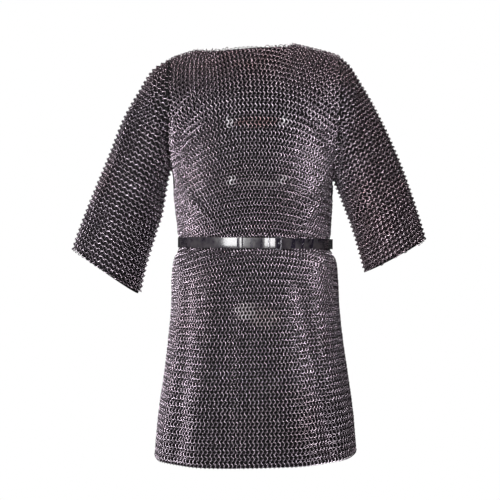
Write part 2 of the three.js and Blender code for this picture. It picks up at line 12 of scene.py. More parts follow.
import bpy
import numpy as np
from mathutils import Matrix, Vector

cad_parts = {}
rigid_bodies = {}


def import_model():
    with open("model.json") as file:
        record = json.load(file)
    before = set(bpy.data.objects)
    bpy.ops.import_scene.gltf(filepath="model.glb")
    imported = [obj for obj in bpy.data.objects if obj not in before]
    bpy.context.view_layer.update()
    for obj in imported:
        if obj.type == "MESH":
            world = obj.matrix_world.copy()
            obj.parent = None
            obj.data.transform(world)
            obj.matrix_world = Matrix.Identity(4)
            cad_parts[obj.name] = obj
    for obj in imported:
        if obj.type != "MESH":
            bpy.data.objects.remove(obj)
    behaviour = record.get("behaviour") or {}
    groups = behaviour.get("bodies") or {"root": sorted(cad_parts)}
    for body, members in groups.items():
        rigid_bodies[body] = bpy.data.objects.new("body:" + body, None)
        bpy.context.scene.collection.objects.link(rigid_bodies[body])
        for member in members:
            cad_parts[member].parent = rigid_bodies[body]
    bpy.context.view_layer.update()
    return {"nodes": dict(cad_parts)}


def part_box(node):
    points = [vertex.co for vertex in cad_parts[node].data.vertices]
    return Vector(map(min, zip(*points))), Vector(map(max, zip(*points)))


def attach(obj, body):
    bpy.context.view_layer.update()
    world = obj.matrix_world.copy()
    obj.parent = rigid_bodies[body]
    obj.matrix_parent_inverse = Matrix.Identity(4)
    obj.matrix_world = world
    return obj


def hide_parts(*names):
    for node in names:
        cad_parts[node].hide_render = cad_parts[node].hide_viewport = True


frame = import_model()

MM = 0.001
SEED = 7
print("pieces in the frame:", sorted(frame["nodes"]))

# %% [markdown]
# ## The camera
# The camera comes first, because it decides how much detail is worth making. It stands level
# with the middle of the hauberk, a few metres off, and a long lens keeps the shape honest.
# The field of view could be set as an angle. A lens in millimetres is used, as on a real camera.

# %% Place the camera
CAMERA_PLACE = (-0.01175, -3.2, -0.4794)
CAMERA_LENS = 98.04           # in millimetres
CAMERA_SENSOR = 36            # its width, in millimetres
LEVEL = math.radians(90)

camera_data = bpy.data.cameras.new("camera")
camera_data.lens = CAMERA_LENS
camera_data.sensor_width = CAMERA_SENSOR
camera = bpy.data.objects.new("camera", camera_data)
camera.location = CAMERA_PLACE
camera.rotation_euler = (LEVEL, 0, 0)
bpy.context.collection.objects.link(camera)
bpy.context.scene.camera = camera
print("camera", CAMERA_PLACE, "lens", CAMERA_LENS)

# %% [markdown]
# ## The form of the body
# Mail has no stiffness of its own. It takes the form of the shoulders, is drawn in by the belt,
# and falls from there in long soft folds. The form could be sculpted. It is worked out instead
# from a few level sections, each one a rounded oval, because then the rings can be laid on it in
# even rows, and because it is then the same form as the solid in the frame.

# %% Read a smooth curve off a short table
def ease_through(places, values, at):
    """Values of the smooth curve through a table, at any array of places."""
    places, values, at = (np.asarray(item, float) for item in (places, values, at))
    flat = values.reshape(len(places), -1)
    slopes = np.vstack([
        (flat[1] - flat[0]) / (places[1] - places[0]),
        (flat[2:] - flat[:-2]) / (places[2:] - places[:-2])[:, None],
        (flat[-1] - flat[-2]) / (places[-1] - places[-2]),
    ])
    at = np.clip(at, places[0], places[-1])
    k = np.clip(np.searchsorted(places, at, side="right") - 1, 0, len(places) - 2)
    span = (places[k + 1] - places[k])[..., None]
    t = (at - places[k])[..., None] / span
    curve = flat[k] + (flat[k + 1] - flat[k]) * t * t * (3 - 2 * t)
    curve = curve + t * (1 - t) * span * ((1 - t) * slopes[k] - t * slopes[k + 1])
    return curve.reshape(at.shape + values.shape[1:])


def mix(a, b, share):
    return a + (b - a) * share


def smooth_step(value, low, high):
    t = np.clip((value - low) / (high - low), 0, 1)
    return t * t * (3 - 2 * t)


LEAST_LENGTH = 1e-12          # guards the division below against a vector of no length


def unit(vectors):
    return vectors / np.maximum(np.linalg.norm(vectors, axis=-1, keepdims=True), LEAST_LENGTH)


# %% The sections of the body, in metres
# Each row: x and z of the left end, x and z of the right end, depth in front, depth behind, sag.
STATIONS = np.array([
    (-0.232, -0.960, 0.234, -0.949, 0.180, 0.176, 0.009),
    (-0.223, -0.860, 0.226, -0.855, 0.170, 0.167, 0.004),
    (-0.210, -0.770, 0.214, -0.768, 0.161, 0.158, 0),
    (-0.200, -0.685, 0.202, -0.685, 0.153, 0.151, 0),
    (-0.193, -0.610, 0.194, -0.610, 0.147, 0.146, 0),
    (-0.192, -0.545, 0.191, -0.546, 0.142, 0.141, 0),
    (-0.187, -0.503, 0.187, -0.506, 0.135, 0.133, 0),
    (-0.178, -0.483, 0.177, -0.487, 0.125, 0.122, 0),
    (-0.175, -0.475, 0.172, -0.479, 0.121, 0.118, 0),
    (-0.175, -0.448, 0.172, -0.452, 0.121, 0.118, 0),
    (-0.178, -0.439, 0.174, -0.443, 0.126, 0.123, 0),
    (-0.180, -0.418, 0.175, -0.424, 0.131, 0.129, 0),
    (-0.187, -0.360, 0.178, -0.376, 0.139, 0.141, 0),
    (-0.190, -0.316, 0.180, -0.342, 0.143, 0.147, 0),
    (-0.197, -0.283, 0.186, -0.316, 0.145, 0.150, 0),
])
STATION_HEIGHTS = (STATIONS[:, 1] + STATIONS[:, 3]) / 2
WAIST_STATION = 9
BODY_ROUND = 2.3              # exponent of the rounded oval: 2 is an ellipse
CHEST = {
    "front": [(-0.300, 0.145), (-0.220, 0.147), (-0.150, 0.141), (-0.090, 0.124), (-0.045, 0.104),
              (-0.012, 0.085), (0.020, 0.085)],
    "back": [(-0.300, 0.150), (-0.220, 0.153), (-0.150, 0.148), (-0.090, 0.134), (-0.045, 0.114),
             (-0.002, 0.088), (0.020, 0.088)],
}
FACE = {"front": -1, "back": 1}


def solid_box(*nodes):
    """Lowest and highest corner of a few of the frame's solids."""
    corners = np.array([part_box(node) for node in nodes])
    return corners[:, 0].min(axis=0), corners[:, 1].max(axis=0)


# The solids of each panel and sleeve, which the frame parts to keep them simple.
PARTS = {
    "front": ("front_skirt", "front_belly", "front_chest"),
    "back": ("back_skirt", "back_belly", "back_chest"),
    "sleeve_left": ("sleeve_left_upper", "sleeve_left_lower"),
    "sleeve_right": ("sleeve_right_upper", "sleeve_right_lower"),
}


def print_reach(name, points):
    """Prints how far some points reach, and how far the solids do that they stand for."""
    cloud = points.reshape(-1, 3)
    low, high = solid_box(*PARTS[name])
    print(name, "from", cloud.min(axis=0).round(3), "to", cloud.max(axis=0).round(3),
          "and its solids from", low.round(3), "to", high.round(3))


front_low, front_high = solid_box(*PARTS["front"])
print("front solids are", round(front_high[2] - front_low[2], 3), "m tall; the sections span",
      round(STATION_HEIGHTS[-1] - STATION_HEIGHTS[0], 3), "m up to the armpits")

# %% [markdown]
# The skirt's folds start at nothing under the belt and are deepest at the hem. Each one is a soft
# ridge that drifts round the body on its way down.

# %% The long folds of the skirt
# Each fold: its angle round the body at the belt and at the hem, its width, its height at the hem.
SKIRT_FOLDS = {
    "front": [(-30, -33, 12, 0.008), (4, 27, 13, 0.008), (-58, -64, 9, 0.005), (44, 58, 10, 0.005)],
    "back": [(-38, -48, 12, 0.008), (-8, -13, 11, 0.007), (26, 33, 13, 0.008), (56, 62, 9, 0.005)],
}
FOLDS_FROM = -0.4835


def fold_height(name, angle, z):
    drop = np.clip((FOLDS_FROM - z) / (FOLDS_FROM - STATIONS[0, 1]), 0, 1)
    total = np.zeros_like(drop)
    for at_belt, at_hem, width, height in SKIRT_FOLDS[name]:
        place = (np.degrees(angle) - mix(at_belt, at_hem, drop)) / width
        total = total + height * np.sqrt(drop) * np.exp(-place * place)
    return total


# %% Even steps round the oval
OVAL_STATION = 4              # the section whose oval sets how the columns are spaced
OVAL_STEPS = 2001


def oval_reach(across, power=BODY_ROUND):
    return (1 - np.abs(across) ** BODY_ROUND) ** (1 / power)


def even_angles(u):
    """The oval's angle at each share u of the way along its edge, from seam to seam."""
    angle = np.linspace(-math.pi / 2, math.pi / 2, OVAL_STEPS)
    x = np.sin(angle)
    _, _, half_width, _, depth, _, _ = STATIONS[OVAL_STATION]
    y = (depth / half_width) * oval_reach(x)
    run = np.concatenate([[0], np.cumsum(np.hypot(np.diff(x), np.diff(y)))])
    return np.interp(u, run / run[-1], angle)


# %% The body below the armpits
def lower_points(name, side, height):
    """Side is the share of the way from the left seam to the right one, height runs 0 to 1."""
    angle = even_angles(side)[None, :]
    across = np.sin(angle)
    level = mix(STATION_HEIGHTS[0], STATION_HEIGHTS[-1], height)
    section = ease_through(STATION_HEIGHTS, STATIONS, level)[:, :, None]
    left_x, left_z, right_x, right_z, front, back, sag = section.swapaxes(0, 1)
    x = mix(left_x, right_x, (across + 1) / 2)
    z = mix(left_z, right_z, (across + 1) / 2)
    fold = fold_height(name, angle, z)
    depth = front if name == "front" else back
    drop = np.maximum(sag, 0) * np.cos(angle) if name == "front" else 0
    y = FACE[name] * (depth * oval_reach(across) + fold * np.cos(angle))
    return np.stack([x + fold * across, y, z - drop], axis=-1)


# %% [markdown]
# Above the armpits the body runs between two armholes, which are upright rings at the ends of
# the shoulders, and closes over the shoulders to the neck hole.

# %% The armholes and the neck hole
ARMHOLES = {
    "left": {"low": (-0.197, -0.283), "high": (-0.199, -0.033)},
    "right": {"low": (0.186, -0.316), "high": (0.197, -0.026)},
}
ARMHOLE_DEPTH = 0.095
ARMPIT_PINCH = 0.2
SHOULDER_SHARE = 6 / 26       # of a panel's top edge, on each side of the neck
NECK_X = -0.022
NECK_HALF_WIDTH = 0.107
NECK_HALF_DEPTH = 0.085
NECK_HEIGHTS = (-0.009, 0.004)
NECK_DIP = {"front": 0.013, "back": -0.005}
DIP_POWER = 0.7               # fills out the dip of the neck edge towards its ends
SHOULDER_POWER = 0.8          # lifts the shoulder lines early on their way to the neck
FLAT_BY = 0.4 * math.pi       # turn by which the columns are spread evenly across
CLOSING_FROM = 0.5 * math.pi  # turn from which they run over to their places on the top edge


def armhole_depth(turn):
    pinch = np.where(turn < math.pi / 2, ARMPIT_PINCH * np.sin(2 * turn), 0)
    return ARMHOLE_DEPTH * np.sin(turn) * (1 - pinch)


def armhole_x(side, turn):
    low, high = ARMHOLES[side]["low"], ARMHOLES[side]["high"]
    return mix(low[0], high[0], (1 - np.cos(turn)) / 2)


def top_points(name, side):
    """Where the columns end, on the shoulder lines and the neck edge."""
    left_high, right_high = ARMHOLES["left"]["high"], ARMHOLES["right"]["high"]
    neck_left, neck_right = NECK_X - NECK_HALF_WIDTH, NECK_X + NECK_HALF_WIDTH
    on_left = np.clip(side / SHOULDER_SHARE, 0, 1)
    on_right = np.clip((1 - side) / SHOULDER_SHARE, 0, 1)
    turn = math.pi * np.clip((side - SHOULDER_SHARE) / (1 - 2 * SHOULDER_SHARE), 0, 1)
    share = (1 - np.cos(turn)) / 2
    x = mix(neck_left, neck_right, share)
    y = FACE[name] * NECK_HALF_DEPTH * np.sin(turn)
    dip = NECK_DIP[name] * np.maximum(np.sin(turn), 0) ** DIP_POWER
    z = mix(NECK_HEIGHTS[0], NECK_HEIGHTS[1], share) - dip
    x = np.where(on_left < 1, mix(left_high[0], neck_left, on_left), x)
    z = np.where(on_left < 1, mix(left_high[1], NECK_HEIGHTS[0], on_left ** SHOULDER_POWER), z)
    x = np.where(on_right < 1, mix(right_high[0], neck_right, on_right), x)
    z = np.where(on_right < 1, mix(right_high[1], NECK_HEIGHTS[1], on_right ** SHOULDER_POWER), z)
    return np.stack([x, y, z], axis=-1)


# %% The body above the armpits
def upper_points(name, side, turn):
    """Turn runs from 0 at the armpits to pi at the shoulders and the neck."""
    angle = even_angles(side)[None, :]
    turn = turn[:, None]
    base = lower_points(name, side, np.array([1.0]))
    top = top_points(name, side)[None]
    left_end, right_end = armhole_x("left", turn), armhole_x("right", turn)
    flat = smooth_step(turn, 0, FLAT_BY)
    place = mix(np.sin(angle), 2 * side[None, :] - 1, flat)
    left_high, right_high = ARMHOLES["left"]["high"][0], ARMHOLES["right"]["high"][0]
    top_place = (top[..., 0] - left_high) / (right_high - left_high)
    share = mix((place + 1) / 2, top_place, smooth_step(turn, CLOSING_FROM, math.pi))
    x = mix(left_end, right_end, share)
    z = mix(base[..., 2], top[..., 2], (1 - np.cos(turn)) / 2)

    across = np.clip((2 * x - left_end - right_end) / (right_end - left_end), -1, 1)
    reach = oval_reach(across, mix(BODY_ROUND, 1, flat))
    heights, depths = zip(*CHEST[name])
    chest = ease_through(heights, depths, z)
    top_chest = ease_through(heights, depths, top[..., 2])
    stay = np.minimum(np.abs(top[..., 1]) / np.maximum(top_chest * reach, MM), 1)
    closing = np.hypot(np.sin(turn) * np.sqrt(1 - stay * stay), stay)
    closing = np.where(turn < math.pi / 2, 1, closing)
    edge = armhole_depth(turn)
    above = edge + (chest * closing - edge) * reach
    near = np.cbrt((chest * reach) ** 3 + edge ** 3)
    y = FACE[name] * mix(near, above, flat)
    return np.stack([x, y, z], axis=-1)


# %% One panel as a grid of points
def panel_points(name, u, row):
    """Row runs from 0 at the hem by 1 at the armpits to 2 at the top. U runs from the seam on the
    left to the one on the right, as the panel is seen from outside."""
    side = u if name == "front" else 1 - u
    lower = lower_points(name, side, row[row <= 1])
    upper = upper_points(name, side, math.pi * (row[row > 1] - 1))
    return np.concatenate([lower, upper])


def grid_frames(points, wrap=False):
    """Unit vectors of a grid of points: along its rows, up its columns, and out of its face."""
    if wrap:
        padded = np.concatenate([points[:, -1:], points, points[:, :1]], axis=1)
        along = (padded[:, 2:] - padded[:, :-2]) / 2
    else:
        along = np.gradient(points, axis=1)
    up = np.gradient(points, axis=0)
    out = unit(np.cross(along, up))
    along = unit(along)
    return along, np.cross(out, along), out


def distance_along(points, axis=0):
    """Distance of each point from the first one, down a line, or along a net's rows or columns."""
    steps = np.linalg.norm(np.diff(points, axis=axis), axis=-1)
    return np.insert(np.cumsum(steps, axis=axis), 0, 0, axis=axis)


def read_line(at, run, points):
    """Points of a flat line at some distances along it."""
    return np.stack([np.interp(at, run, points[:, k]) for k in range(2)], axis=-1)


test_rows = np.linspace(0, 2, 41)
test_u = np.linspace(0, 1, 41)
for name in ("front", "back"):
    print_reach(name, panel_points(name, test_u, test_rows))

# %% [markdown]
# ## The form of the sleeves
# Each sleeve is a wide tube between an outer line, from the shoulder to the back of the cuff, and
# an inner line, from the armpit to the front of it. Between the two lines the section is an oval.

# %% The sleeves
SLEEVES = {
    "left": {
        "outer": [(-0.199, -0.033), (-0.237, -0.057), (-0.266, -0.101), (-0.306, -0.171),
                  (-0.341, -0.259), (-0.380, -0.354), (-0.412, -0.438), (-0.425, -0.478)],
        "inner": [(-0.197, -0.283), (-0.206, -0.318), (-0.219, -0.396), (-0.232, -0.437),
                  (-0.255, -0.513), (-0.270, -0.583)],
    },
    "right": {
        "outer": [(0.197, -0.026), (0.220, -0.048), (0.239, -0.077), (0.277, -0.142),
                  (0.317, -0.224), (0.352, -0.311), (0.382, -0.403), (0.398, -0.458)],
        "inner": [(0.186, -0.316), (0.199, -0.348), (0.215, -0.389), (0.230, -0.431),
                  (0.242, -0.472), (0.258, -0.531)],
    },
}
SLEEVE_DEPTH = [(0, 0.095), (0.15, 0.094), (0.5, 0.084), (1, 0.078)]
CUFF_FORWARD = 0.014
PINCH_FADES = 0.22            # share of the sleeve over which the armhole's pinch dies away
LINE_STEPS = 400
OUTWARD = {"left": -1, "right": 1}


def line_points(points, share):
    """Points of a smooth line through a few given ones, at shares of its length."""
    points = np.array(points)
    chords = distance_along(points)
    dense = ease_through(chords, points, np.linspace(0, chords[-1], LINE_STEPS))
    run = distance_along(dense)
    return read_line(share * run[-1], run, dense)


def sleeve_points(side, around, step):
    """Around is a turn of the tube, 0 at the armpit line and pi at the shoulder line, starting
    towards the front on the left sleeve and towards the back on the right one. Step runs from 0
    at the armhole to 1 at the cuff."""
    outer = line_points(SLEEVES[side]["outer"], step)[:, None, :]
    inner = line_points(SLEEVES[side]["inner"], step)[:, None, :]
    steps, depths = zip(*SLEEVE_DEPTH)
    half_depth = ease_through(steps, depths, step)[:, None]
    sweep = np.sin(around)[None, :]
    pinched = np.sign(sweep) * armhole_depth(np.arccos(np.cos(around)))[None, :] / ARMHOLE_DEPTH
    oval = mix(pinched, sweep, smooth_step(step, 0, PINCH_FADES)[:, None])
    high = ((1 - np.cos(around)) / 2)[None, :, None]
    plane = mix(inner, outer, high)
    y = OUTWARD[side] * half_depth * oval - CUFF_FORWARD * step[:, None] ** 2
    return np.stack([plane[..., 0], y, plane[..., 1]], axis=-1)


test_around = np.linspace(0, 2 * math.pi, 40)
test_steps = np.linspace(0, 1, 20)
for side in ("left", "right"):
    print_reach(f"sleeve_{side}", sleeve_points(side, test_around, test_steps))

# %% [markdown]
# ## Creases
# The mail bunches beside the armholes, over the belt and in the bend of the elbows. Such creases
# could come out of a cloth simulation, but mail is heavy and slack in a way that such cloth is
# not. They are drawn instead: each one is a line with a width and a height, and a
# negative height makes it a trough. On the body the line's points are x and z, on a sleeve they
# are the distance from the armhole and the distance round from the armpit line.

# %% The creases, in metres
CREASE_STEPS = 6              # points on each crease for each one given
CREASES_FADE = 0.012          # creases die away this near an armhole, where two forms meet
CREASES = {
    "front": [
        ([(-0.200, -0.215), (-0.199, -0.275), (-0.192, -0.330)], 0.008, -0.008),
        ([(-0.140, -0.120), (-0.163, -0.150), (-0.178, -0.190), (-0.186, -0.240)], 0.006, 0.004),
        ([(-0.125, -0.150), (-0.148, -0.180), (-0.164, -0.215), (-0.172, -0.260)], 0.006, -0.003),
        ([(-0.110, -0.185), (-0.132, -0.212), (-0.148, -0.245), (-0.158, -0.285)], 0.007, 0.004),
        ([(-0.172, -0.300), (-0.150, -0.345), (-0.120, -0.390)], 0.009, 0.004),
        ([(0.192, -0.215), (0.187, -0.290), (0.182, -0.350)], 0.008, -0.008),
        ([(0.128, -0.105), (0.155, -0.130), (0.174, -0.165), (0.182, -0.205)], 0.006, 0.004),
        ([(0.112, -0.130), (0.138, -0.156), (0.156, -0.190), (0.166, -0.225)], 0.006, -0.003),
        ([(0.098, -0.160), (0.124, -0.184), (0.142, -0.216), (0.152, -0.250)], 0.007, 0.004),
        ([(0.164, -0.290), (0.140, -0.340), (0.104, -0.392)], 0.009, 0.004),
        ([(-0.165, -0.512), (-0.130, -0.488), (-0.100, -0.482)], 0.007, 0.003),
        ([(0.165, -0.516), (0.140, -0.494), (0.110, -0.489)], 0.007, 0.003),
        ([(0.100, -0.440), (0.120, -0.400), (0.150, -0.370)], 0.009, 0.004),
        ([(-0.075, -0.435), (-0.105, -0.400), (-0.150, -0.375)], 0.009, 0.004),
        ([(-0.048, -0.560), (-0.050, -0.740), (-0.054, -0.950)], 0.020, -0.007),
        ([(0.098, -0.570), (0.130, -0.740), (0.172, -0.930)], 0.016, -0.005),
        ([(-0.150, -0.560), (-0.160, -0.740), (-0.172, -0.940)], 0.014, -0.004),
    ],
    "back": [
        ([(-0.196, -0.110), (-0.190, -0.200), (-0.180, -0.300)], 0.011, -0.008),
        ([(-0.168, -0.120), (-0.160, -0.220), (-0.130, -0.320), (-0.090, -0.390)], 0.011, 0.006),
        ([(0.194, -0.110), (0.186, -0.210), (0.178, -0.320)], 0.011, -0.008),
        ([(0.166, -0.120), (0.152, -0.230), (0.120, -0.330), (0.080, -0.395)], 0.011, 0.006),
        ([(-0.080, -0.060), (-0.020, -0.085), (0.050, -0.060)], 0.012, -0.004),
        ([(-0.050, -0.410), (-0.020, -0.330), (0.000, -0.240)], 0.013, 0.005),
        ([(0.040, -0.430), (0.030, -0.360), (0.045, -0.290)], 0.011, -0.005),
        ([(-0.020, -0.500), (-0.026, -0.700), (-0.030, -0.950)], 0.018, -0.006),
        ([(0.060, -0.520), (0.075, -0.740), (0.082, -0.950)], 0.018, -0.006),
        ([(-0.110, -0.540), (-0.130, -0.750), (-0.150, -0.940)], 0.016, -0.005),
    ],
    "left": [
        ([(0.004, 0.03), (0.006, 0.08), (0.004, 0.13)], 0.010, -0.007),
        ([(0.045, 0.07), (0.050, 0.14), (0.040, 0.22)], 0.014, 0.006),
        ([(0.090, 0.06), (0.110, 0.13), (0.100, 0.19)], 0.012, -0.004),
        ([(0.150, 0.05), (0.180, 0.11), (0.190, 0.19)], 0.012, 0.004),
        ([(0.195, 0.04), (0.225, 0.09), (0.240, 0.16)], 0.011, -0.005),
        ([(0.250, 0.05), (0.275, 0.11), (0.300, 0.17)], 0.012, 0.004),
        ([(0.120, 0.24), (0.210, 0.22), (0.300, 0.23)], 0.018, 0.006),
        ([(0.320, 0.10), (0.350, 0.16), (0.400, 0.20)], 0.012, -0.004),
        ([(0.060, 0.40), (0.140, 0.44), (0.230, 0.43)], 0.014, -0.005),
        ([(0.180, 0.50), (0.230, 0.44), (0.300, 0.40)], 0.013, 0.005),
    ],
    "right": [
        ([(0.004, 0.47), (0.006, 0.52), (0.004, 0.57)], 0.010, -0.007),
        ([(0.045, 0.38), (0.050, 0.46), (0.040, 0.53)], 0.014, 0.006),
        ([(0.090, 0.40), (0.110, 0.47), (0.100, 0.54)], 0.012, -0.004),
        ([(0.140, 0.40), (0.165, 0.47), (0.180, 0.54)], 0.012, 0.005),
        ([(0.190, 0.42), (0.215, 0.48), (0.220, 0.55)], 0.011, -0.005),
        ([(0.240, 0.41), (0.270, 0.47), (0.290, 0.53)], 0.012, 0.005),
        ([(0.110, 0.36), (0.200, 0.37), (0.300, 0.36)], 0.018, 0.005),
        ([(0.310, 0.38), (0.340, 0.44), (0.360, 0.50)], 0.012, -0.004),
        ([(0.060, 0.16), (0.150, 0.20), (0.240, 0.18)], 0.014, -0.005),
    ],
}


def line_distance(x, y, points):
    """Distance of each place from a line of straight stretches."""
    nearest = np.full(x.shape, np.inf)
    for (x0, y0), (x1, y1) in zip(points, points[1:]):
        length = (x1 - x0) ** 2 + (y1 - y0) ** 2
        t = np.clip(((x - x0) * (x1 - x0) + (y - y0) * (y1 - y0)) / length, 0, 1)
        nearest = np.minimum(nearest, np.hypot(x - mix(x0, x1, t), y - mix(y0, y1, t)))
    return nearest


def crease_height(name, x, y):
    total = np.zeros(x.shape)
    for points, width, height in CREASES[name]:
        steps = np.linspace(0, len(points) - 1, CREASE_STEPS * len(points))
        smooth = ease_through(range(len(points)), points, steps)
        total += height * np.exp(-(line_distance(x, y, smooth) / width) ** 2)
    return total


print("creases drawn:", {name: len(lines) for name, lines in CREASES.items()})

# %% The creased surfaces
SLEEVE_LENGTH = 0.41          # mean length of a sleeve, to place its creases
SLEEVE_GIRTH = 0.60           # mean way round it
BELT_Z = -0.4635
BELT_REST = 0.020             # creases are out near the belt's middle line, and in full farther off
BELT_REST_SPAN = (BELT_REST * 0.8, BELT_REST * 1.8)


def creased_panel(name, u, row):
    points = panel_points(name, u, row)
    out = grid_frames(points)[2]
    height = crease_height(name, points[..., 0], points[..., 2])
    clear = smooth_step(np.abs(points[..., 2] - BELT_Z), *BELT_REST_SPAN)
    run = distance_along(points, 1)
    to_side = np.minimum(run, run[:, -1:] - run)
    fade = np.where(row[:, None] > 1, smooth_step(to_side, 0, CREASES_FADE), 1)
    return points + out * (height * clear * fade)[..., None]


def creased_sleeve(side, around, step):
    points = sleeve_points(side, around, step)
    out = grid_frames(points, wrap=True)[2]
    along, across = np.meshgrid(step * SLEEVE_LENGTH, around / (2 * math.pi) * SLEEVE_GIRTH, indexing="ij")
    fade = smooth_step(distance_along(points), 0, CREASES_FADE)
    return points + out * (crease_height(side, along, across) * fade)[..., None]


# %% [markdown]
# ## The weave
# Each ring passes through two rings of the row above and two of the row below. The rings of one
# row all lean the same way, like fallen dominoes, and the next row leans the other way. So the
# places of the rings are every other crossing of a lattice.
# The lattice could be laid square on the body, but mail doesn't hang so. The belt draws its columns
# together, and they stand wider at the hem and over the chest, where the outer ones run out at the
# armholes. Above the belt its rows fall away towards the arms.

# %% Sizes of the weave
RING_RADIUS = 5.9 * MM        # to the middle of the wire
WIRE_RADIUS = 1.0 * MM        # to the corners of its three-sided section
RING_LEAN = math.radians(37)
RING_SWAY = math.radians(1.5)  # how much the rings differ in their lean
RING_SHIFT = 0.08 * MM        # and in their place
TONE_MIDDLE = 0.5             # of a ring's tone, which runs from 0 to 1
TONE_SPREAD = 0.1             # and how much the rings differ in it
COLUMNS = 140                 # half steps across one panel's skirt, so 70 rings in each row
CHEST_HALF_STEP = 4.75 * MM   # half steps across the upper chest
CHEST_SPREAD = (1.08, 1.65)   # rows of a panel between which the columns spread out to that
ROW_STEPS = [(-0.95, 7.6), (-0.70, 8.4), (-0.50, 8.9), (-0.38, 8.8), (-0.25, 8.0), (-0.14, 7.3),
             (0.00, 7.0)]     # height, and millimetres from one row to the next
ROW_LAGS = [(0, 0), (0.05, 3), (0.09, 11.5), (0.12, 23.5), (0.15, 41.5), (0.20, 73), (0.24, 98)]
LAG_HEIGHTS = (-0.70, -0.38)  # the lags are nothing below these heights, and in full above them
HEM_MARGIN = 5 * MM           # from the hem to the middle of its last rings
TOP_MARGIN = 2.5 * MM
WITHIN_LEAST = 0.99           # how fully a place has to lie on its panel to get a ring
FAR = 1                       # in metres: more than any crease or sheet fades over
ARMHOLE_MARGIN = 1.5 * MM


# %% Nets of points, and places between their knots
def read_net(net, row, column):
    """Points of a net at any rows and columns."""
    j = np.clip(np.floor(row).astype(int), 0, net.shape[0] - 2)
    i = np.clip(np.floor(column).astype(int), 0, net.shape[1] - 2)
    right = (column - i)[..., None]
    low = mix(net[j, i], net[j, i + 1], right)
    high = mix(net[j + 1, i], net[j + 1, i + 1], right)
    return mix(low, high, (row - j)[..., None])


def read_tables(asked, places, values):
    """Reads one table in each column: its values where its rising places reach those asked for."""
    count = max(item.shape[1] for item in (asked, places, values))
    asked, places, values = (np.broadcast_to(item, (len(item), count)) for item in (asked, places, values))
    return np.stack([np.interp(asked[:, k], places[:, k], values[:, k]) for k in range(count)], axis=1)


def square_frames(points):
    """Unit vectors along the rows and up the columns of a lattice, made square to each other."""
    along, up = unit(np.gradient(points, axis=1)), unit(np.gradient(points, axis=0))
    rising, falling = unit(up + along), unit(up - along)
    return unit(rising - falling), unit(rising + falling)


def lattice_on(net, out, across, up, row, column, exists, from_armhole):
    """A net with the weave's steps at its knots, and the lattice that lies on it."""
    return {"net": net, "net_out": out, "net_steps": np.stack([across, up], axis=-1),
            "points": read_net(net, row, column), "out": unit(read_net(out, row, column)),
            "exists": exists, "from_armhole": from_armhole}


# %% The lattice of the body
NET_ROWS = np.linspace(0, 2, 281)
NET_U = np.linspace(0, 1, 241)


def row_lag(points):
    """How far the rows of rings have fallen at each point."""
    across, fall = zip(*ROW_LAGS)
    return np.interp(np.abs(points[..., 0]), across, fall) * MM * smooth_step(points[..., 2], *LAG_HEIGHTS)


def steps_across(run):
    """Length of half a step across, for each row of the net."""
    half_step = (run[:, -1] - run[:, 0]) / COLUMNS
    at_armpits = np.interp(1, NET_ROWS, half_step)
    spread = mix(at_armpits, CHEST_HALF_STEP, smooth_step(NET_ROWS, *CHEST_SPREAD))
    return np.where(NET_ROWS > 1, spread, half_step)


def row_places(climb, heights, highest):
    """Distances up the middle of a panel at which its rows of rings lie, and on at the same pace
    to the highest place that a fallen row comes from."""
    levels, steps = zip(*ROW_STEPS)
    places = [HEM_MARGIN]
    while places[-1] < highest:
        height = np.interp(places[-1], climb, heights)
        places.append(places[-1] + np.interp(height, levels, steps) * MM)
    return np.array(places)


def body_lattice(name):
    """The net of one panel, with the weave's steps at its knots, and the lattice on it."""
    net = creased_panel(name, NET_U, NET_ROWS)
    out = grid_frames(net)[2]
    net_rows, net_columns = np.arange(NET_ROWS.size)[:, None], np.arange(NET_U.size)[:, None]
    run = distance_along(net, 1)
    run = run - run[:, NET_U.size // 2, None]
    half_step = steps_across(run)[:, None]
    steps = np.arange(COLUMNS)[:, None]
    from_middle = (steps - (COLUMNS - 1) / 2).T * half_step
    edge = np.where(NET_ROWS > 1, ARMHOLE_MARGIN, 0)[:, None]
    within = (from_middle > run[:, :1] + edge) & (from_middle < run[:, -1:] - edge)
    column = read_tables(from_middle.T, run.T, net_columns).T

    paths = read_net(net, np.broadcast_to(net_rows, column.shape), column)
    climb = distance_along(paths)
    rise = climb + row_lag(paths)
    middle = COLUMNS // 2
    places = row_places(climb[:, middle], paths[:, middle, 2], rise.max())
    row = read_tables(places[:, None], rise, net_rows)
    exists = read_tables(row, net_rows, within.astype(float)) > WITHIN_LEAST
    exists &= places[:, None] < rise[-1] - TOP_MARGIN
    column = read_tables(row, net_rows, column)

    across = run / half_step + (COLUMNS - 1) / 2
    risen = read_tables(across.T, steps, climb.T).T + row_lag(net)
    up = np.interp(risen, places, np.arange(places.size))
    to_side = np.minimum(run - run[:, :1], run[:, -1:] - run)
    from_armhole = np.where(NET_ROWS[:, None] > 1, to_side, FAR)
    return lattice_on(net, out, across, up, row, column, exists, from_armhole)


lattices = {name: body_lattice(name) for name in ("front", "back")}
for name, lattice in lattices.items():
    print(name, "has", lattice["points"].shape[0], "rows;", round(lattice["exists"].mean(), 3),
          "of its lattice lies on it")

# %% [markdown]
# One ring is modelled, and then copied along the lattice. A copy for each ring as an object of
# its own would be slow, so the copies are joined as they are made: the model's corners are turned
# and moved for all rings at once, as arrays. With twenty thousand rings, each one has only a few
# faces, and smooth shading rounds them.

# %% Model one ring
def deselect_all():
    if bpy.context.object and bpy.context.object.mode != "OBJECT":
        bpy.ops.object.mode_set(mode="OBJECT")
    bpy.ops.object.select_all(action="DESELECT")


def make_active(piece):
    deselect_all()
    bpy.context.view_layer.objects.active = piece
    piece.select_set(True)


